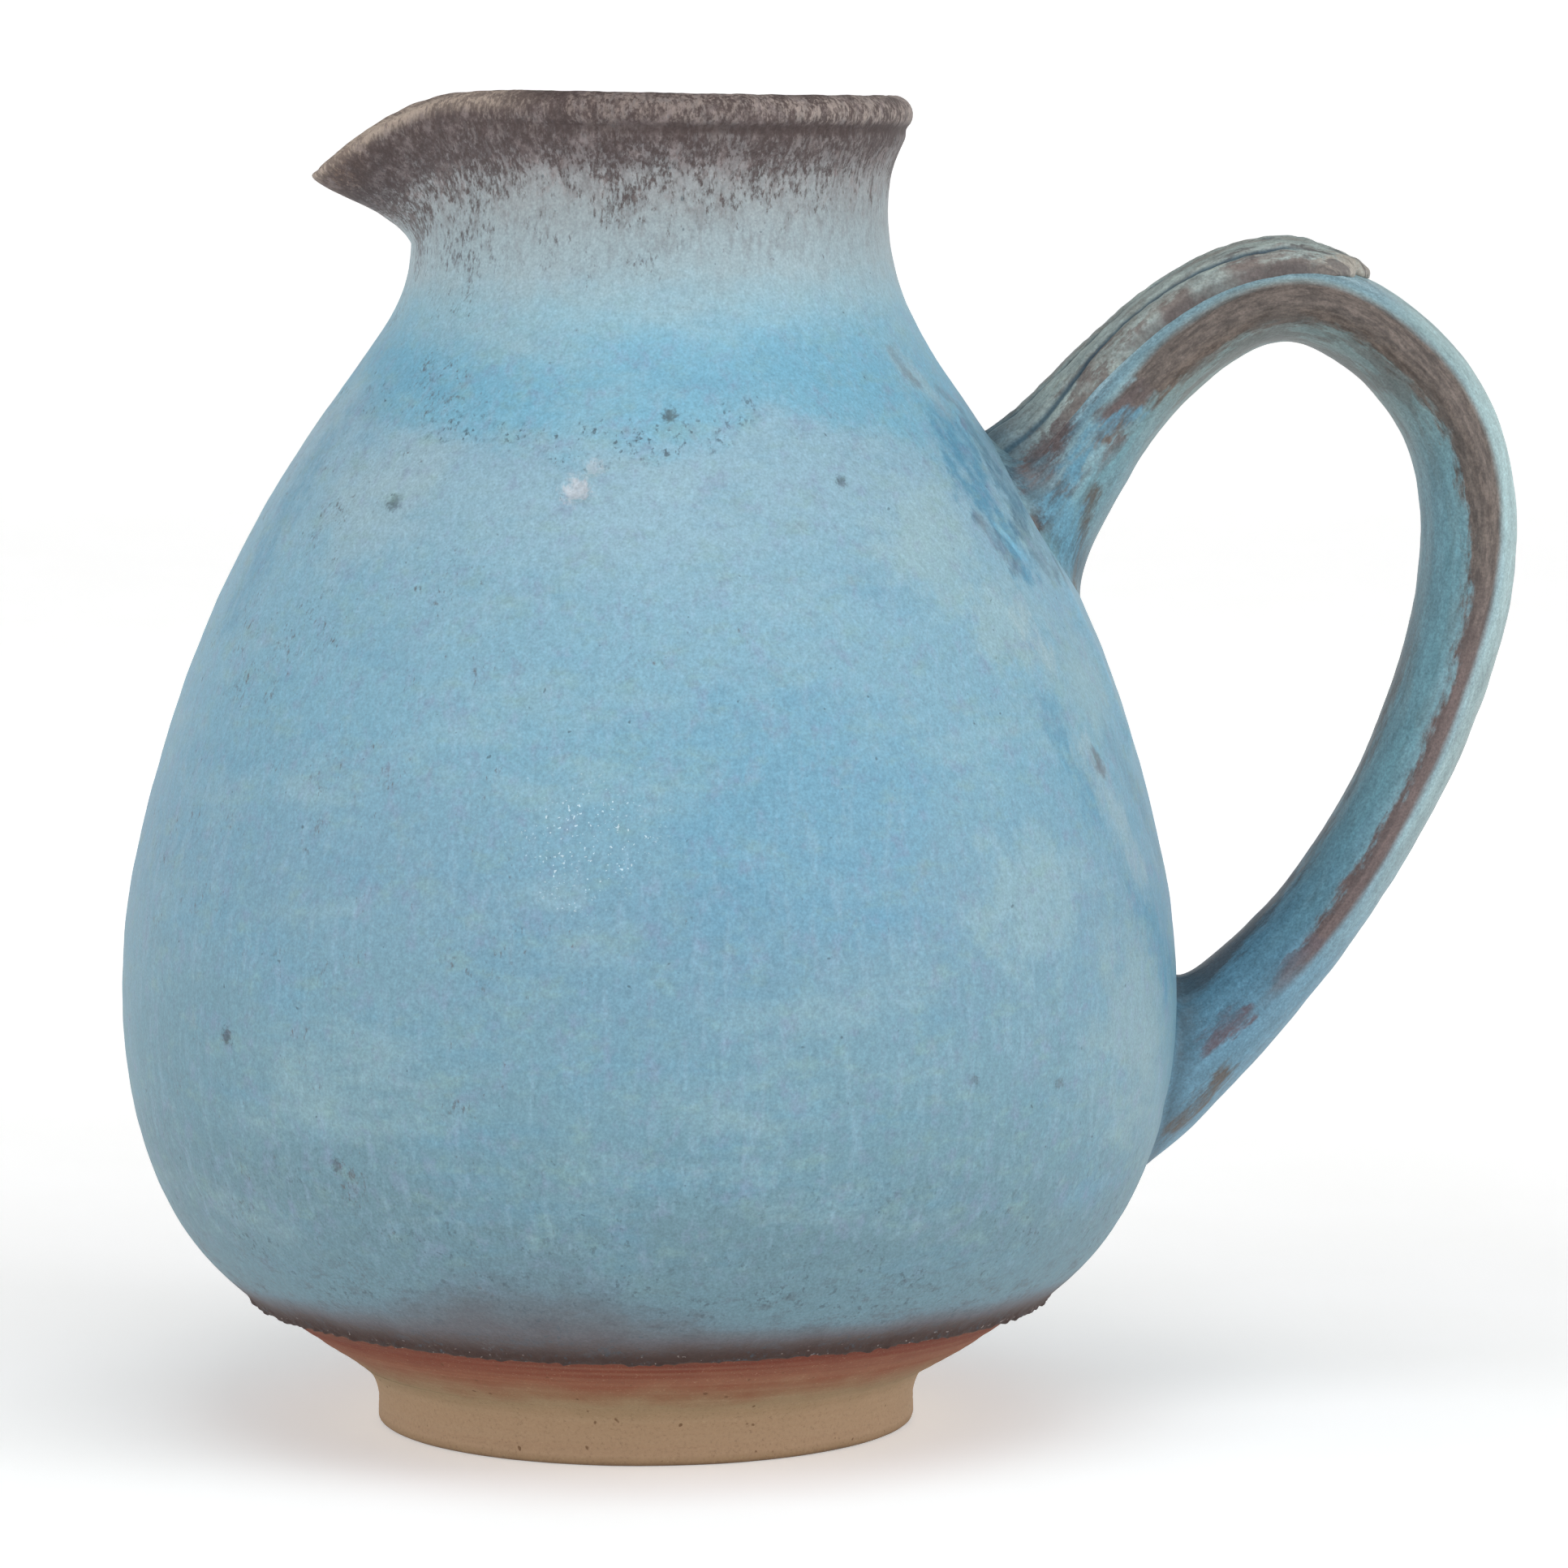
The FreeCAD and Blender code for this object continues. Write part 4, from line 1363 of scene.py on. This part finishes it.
def thumb_glaze():
    """The strip's glaze: grey-green and brown streaks, dark in its grooves, worn at the torn tip,
    with a painted shadow along its edges.
    """
    s = Shader("turquoise_glaze_thumb")
    along, across, tip = s.attribute("along"), s.attribute("across"), s.attribute("tip")
    groove, pool_and_shade = s.attribute("groove"), s.attribute("pool_and_shade")
    flow = s.add("ShaderNodeCombineXYZ", X=s.times(along, 45), Y=s.times(across, 8)).outputs[0]
    fine, grain = s.mottle()
    s.colour = s.ramp(s.noise(2.6, 5, 0.7, seed=18, place=flow), STRIP_TONES, 0.30, 0.70)
    edge = s.math("ABSOLUTE", across)
    brown = s.times(s.centred(1.8, 5, 0.75, seed=27, place=flow), 1.7, edge)
    brown = s.times(s.span(brown, 0.76, 0.98), s.span(s.noise(7, 3, 0.6, seed=29), 0.36, 0.52))
    s.paint((104, 90, 86), brown, 0.8)
    s.paint((46, 74, 90), s.span(groove, 0.10, 0.50, 0, 0.85))
    torn = s.times(s.centred(1.4, 4, 0.65, seed=33), 1.6, tip)
    s.paint((160, 152, 142), s.span(torn, 0.45, 1, 0, 0.85))
    streaks = s.where((s.noise(1.1, 4, 0.7, seed=34, place=flow), 0.52, 0.62), (along, 0.20, 0.27))
    s.paint((78, 74, 76), streaks, 0.7)
    # painted shadow: a dark line along the strip's edges
    edge_shadow = s.where((edge, 0.93, 0.99), (along, 0.15, 0.20))
    s.paint((72, 66, 68), edge_shadow, 0.6)
    # painted shade and darker pooled glaze where the strip meets the wall
    s.paint((66, 98, 114), pool_and_shade, 0.65)
    ragged = s.centred(1.5, 5, 0.72, seed=23)
    blotch = s.noise(1.6, 4, 0.7, seed=45, place=flow)
    s.marks(HANDLE_MARKS_AND_SHADE[:1], s.times(ragged, 3), blotch)
    s.shade((fine, 0.75), (grain, 0.80), (blotch, 1))
    roughness = s.times(grain, 0.2, 0.42)
    return s.finish(roughness, s.bumps(grain, 0.6), 0.13, specular=0.4)


# Colours of the inside glaze by height.
LINING = [
    (10, (96, 146, 168)),
    (60, (118, 170, 188)),
    (160, (136, 178, 192)),
    (178, (134, 144, 148)),
    (186, (106, 96, 94)),
    (192, (112, 98, 92)),
]


def liner_glaze():
    """The inside glaze: a plainer, paler turquoise that browns towards the lip."""
    s = Shader("liner_glaze")
    cloud = s.noise(18, 4, 0.6, seed=3)
    grain = s.noise(0.8, 3, 0.7, (1, 1, 2), 7)
    level = s.times(s.minus(grain, 0.5), 16, s.z)
    s.colour = s.ramp(level, LINING, 10, 192)
    s.paint((170, 198, 204), s.span(cloud, 0.45, 0.7, 0, 0.4))
    s.paint((100, 140, 156), s.span(grain, 0.5, 0.25, 0, 0.35))
    roughness = s.times(cloud, 0.15, 0.28)
    height = s.times(s.noise(2.5, 2, 0.6, seed=5), 0.8, grain)
    return s.finish(roughness, height, 0.10)


# Colours of the bare clay by height, from the foot's bottom edge, painted dark as its shadow, to the
# red flash under the hem.
CLAY_BY_HEIGHT = [
    (0, (100, 78, 60)),
    (0.6, (146, 120, 92)),
    (1.5, (168, 141, 114)),
    (6, (164, 138, 110)),
    (9, (150, 129, 100)),
    (11, (140, 106, 80)),
    (13.5, (130, 77, 56)),
    (16.5, (114, 56, 41)),
    (20, (90, 48, 40)),
]


def bare_clay():
    """Fired, unglazed stoneware: tan, speckled, with turning lines, a red flash under the hem and
    painted shadow at the foot's bottom edge.
    """
    s = Shader("bare_clay")
    reach = s.span(s.z, 2, 9, 0.5, 5)
    level = s.times(s.centred(7, 5, 0.65, seed=2), reach, s.z)
    s.colour = s.ramp(level, CLAY_BY_HEIGHT, 0, 20)
    lines = s.noise(0.9, 2, 0.6, (80, 80, 1), 4)
    s.paint((184, 162, 134), s.span(lines, 0.35, 0.7, 0, 0.12))
    grain = s.noise(0.45, 3, 0.75, seed=6)
    s.paint((112, 90, 72), s.span(grain, 0.5, 0.25, 0, 0.45))
    s.paint((192, 172, 144), s.span(grain, 0.55, 0.8, 0, 0.4))
    iron = s.span(s.noise(1.5, 1, 0.4, seed=8), 0.74, 0.79)
    s.paint((96, 66, 44), iron, 0.75)
    roughness = s.times(grain, 0.15, 0.78)
    height = s.times(grain, 0.6, s.times(lines, 0.5))
    return s.finish(roughness, height, 0.12, specular=0.25)


FLOOR_GLOW = 0.33  # strength of the emission near the pitcher
BACKDROP_GLOW = 0.55  # and far from it
FLOOR_REACH = 2600  # radius of the flat floor in mm
BEND_RADIUS = 900
BACKDROP_HEIGHT = 1400


def studio_floor():
    """A plain pale floor. Far from the pitcher it is lit apart, which is what the emission is."""
    s = Shader("pale_floor")
    cloud = s.noise(60, 3, 0.6)
    grain = s.noise(1.5, 2, 0.6, seed=2)
    s.colour = s.mix(s.span(cloud, 0.3, 0.7), (241, 241, 240), (244, 244, 244))
    roughness = s.times(cloud, 0.1, 0.75)
    away = s.vector("LENGTH", s.mm)
    s.put(s.surface, "Emission Color", (1, 1, 1, 1))
    glow = s.where((away, 150, 650, FLOOR_GLOW, BACKDROP_GLOW), (s.z, 500, 1100, 1, 0.25))
    s.put(s.surface, "Emission Strength", glow)
    return s.finish(roughness, grain, 0.01, specular=0.1)


# Stage, lights and camera --------------------
def backdrop(material):
    """A pale floor that curves up far away on every side, so no horizon shows."""
    rows = [(600, 0), (FLOOR_REACH, 0)]
    for angle in range(10, 91, 10):
        bend = math.radians(angle)
        out = FLOOR_REACH + BEND_RADIUS * math.sin(bend)
        rows.append((out, BEND_RADIUS - BEND_RADIUS * math.cos(bend)))
    rows.append((FLOOR_REACH + BEND_RADIUS, BACKDROP_HEIGHT))
    rows = np.array(rows)
    turn = full_turn(96)
    grid = round_about(rows[:, :1], turn, rows[:, 1:] + 0 * turn)
    floor = grid_piece("studio_floor", grid, caps=(0,))
    floor.data.materials.append(material)


def area_light(name, place, target, size, power):
    """A square lamp that faces its target. Lengths are in metres and power in watts."""
    data = bpy.data.lights.new(name, "AREA")
    data.shape = "SQUARE"
    data.size = size
    data.energy = power
    lamp = bpy.data.objects.new(name, data)
    bpy.context.scene.collection.objects.link(lamp)
    lamp.location = place
    direction = Vector(target) - Vector(place)
    lamp.rotation_euler = direction.to_track_quat("-Z", "Y").to_euler()


LIT_POINT = (0.02, 0, 0.09)
SKY_STRENGTH = 0.26


def lights():
    """Three soft lamps from the camera's side and a white sky."""
    area_light("overhead_light", (0.1, -0.75, 1.5), LIT_POINT, size=1.2, power=10.2)
    area_light("key_light", (1.5, -0.9, 0.8), LIT_POINT, size=0.8, power=9.2)
    area_light("fill_light", (-1.4, -0.75, 0.7), LIT_POINT, size=0.8, power=6)
    world = bpy.data.worlds.new("studio")
    world.use_nodes = True
    background = world.node_tree.nodes["Background"]
    background.inputs["Color"].default_value = (1, 1, 1, 1)
    background.inputs["Strength"].default_value = SKY_STRENGTH
    bpy.context.scene.world = world
    bpy.context.scene.view_settings.view_transform = "Standard"


CAMERA_PLACE = (-0.0652, -0.9740, 0.1897)
CAMERA_TILT = 84.26  # degrees up from looking straight down
CAMERA_TURN = -5
SENSOR_WIDTH = 36
FOCAL_LENGTH = 157.14


def camera():
    """The camera of the photo: a long lens a metre away, looking down a little."""
    data = bpy.data.cameras.new("photo_view")
    data.sensor_width = SENSOR_WIDTH
    data.lens = FOCAL_LENGTH
    data.clip_end = 50
    view = bpy.data.objects.new("photo_view", data)
    bpy.context.scene.collection.objects.link(view)
    view.location = CAMERA_PLACE
    view.rotation_euler = (math.radians(CAMERA_TILT), 0, math.radians(CAMERA_TURN))
    bpy.context.scene.camera = view


def stands_for(piece, material, slot, *nodes):
    """Gives a piece its material, and puts it in place of the CAD nodes it stands for."""
    piece.data.materials.append(material)
    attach(piece, "root")
    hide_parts(*nodes)


WALL = Wall()
camera()
lights()
backdrop(studio_floor())

clay = bare_clay()
handle_glaze = turquoise_handle()
strap = Strap()
handle = handle_pieces(strap)
stands_for(outside_glaze(), turquoise_wall(), "turquoise_glaze", "outside_glaze")
stands_for(inside_glaze(), liner_glaze(), "liner_glaze", "inside_glaze")
stands_for(clay_body(), clay, "bare_clay", "thrown_body")
stands_for(foot(), clay, "bare_clay", "foot_ring")
stands_for(handle["strap_clay"], clay, "bare_clay", "strap_handle")
stands_for(handle["strap_glaze"], handle_glaze, "turquoise_glaze", "handle_glaze")
stands_for(handle["upper_joint_skin"], handle_glaze, "turquoise_glaze", "upper_joint")
stands_for(handle["lower_joint_skin"], handle_glaze, "turquoise_glaze", "lower_joint")
stands_for(thumb_layer(strap), thumb_glaze(), "turquoise_glaze", "thumb_strip")
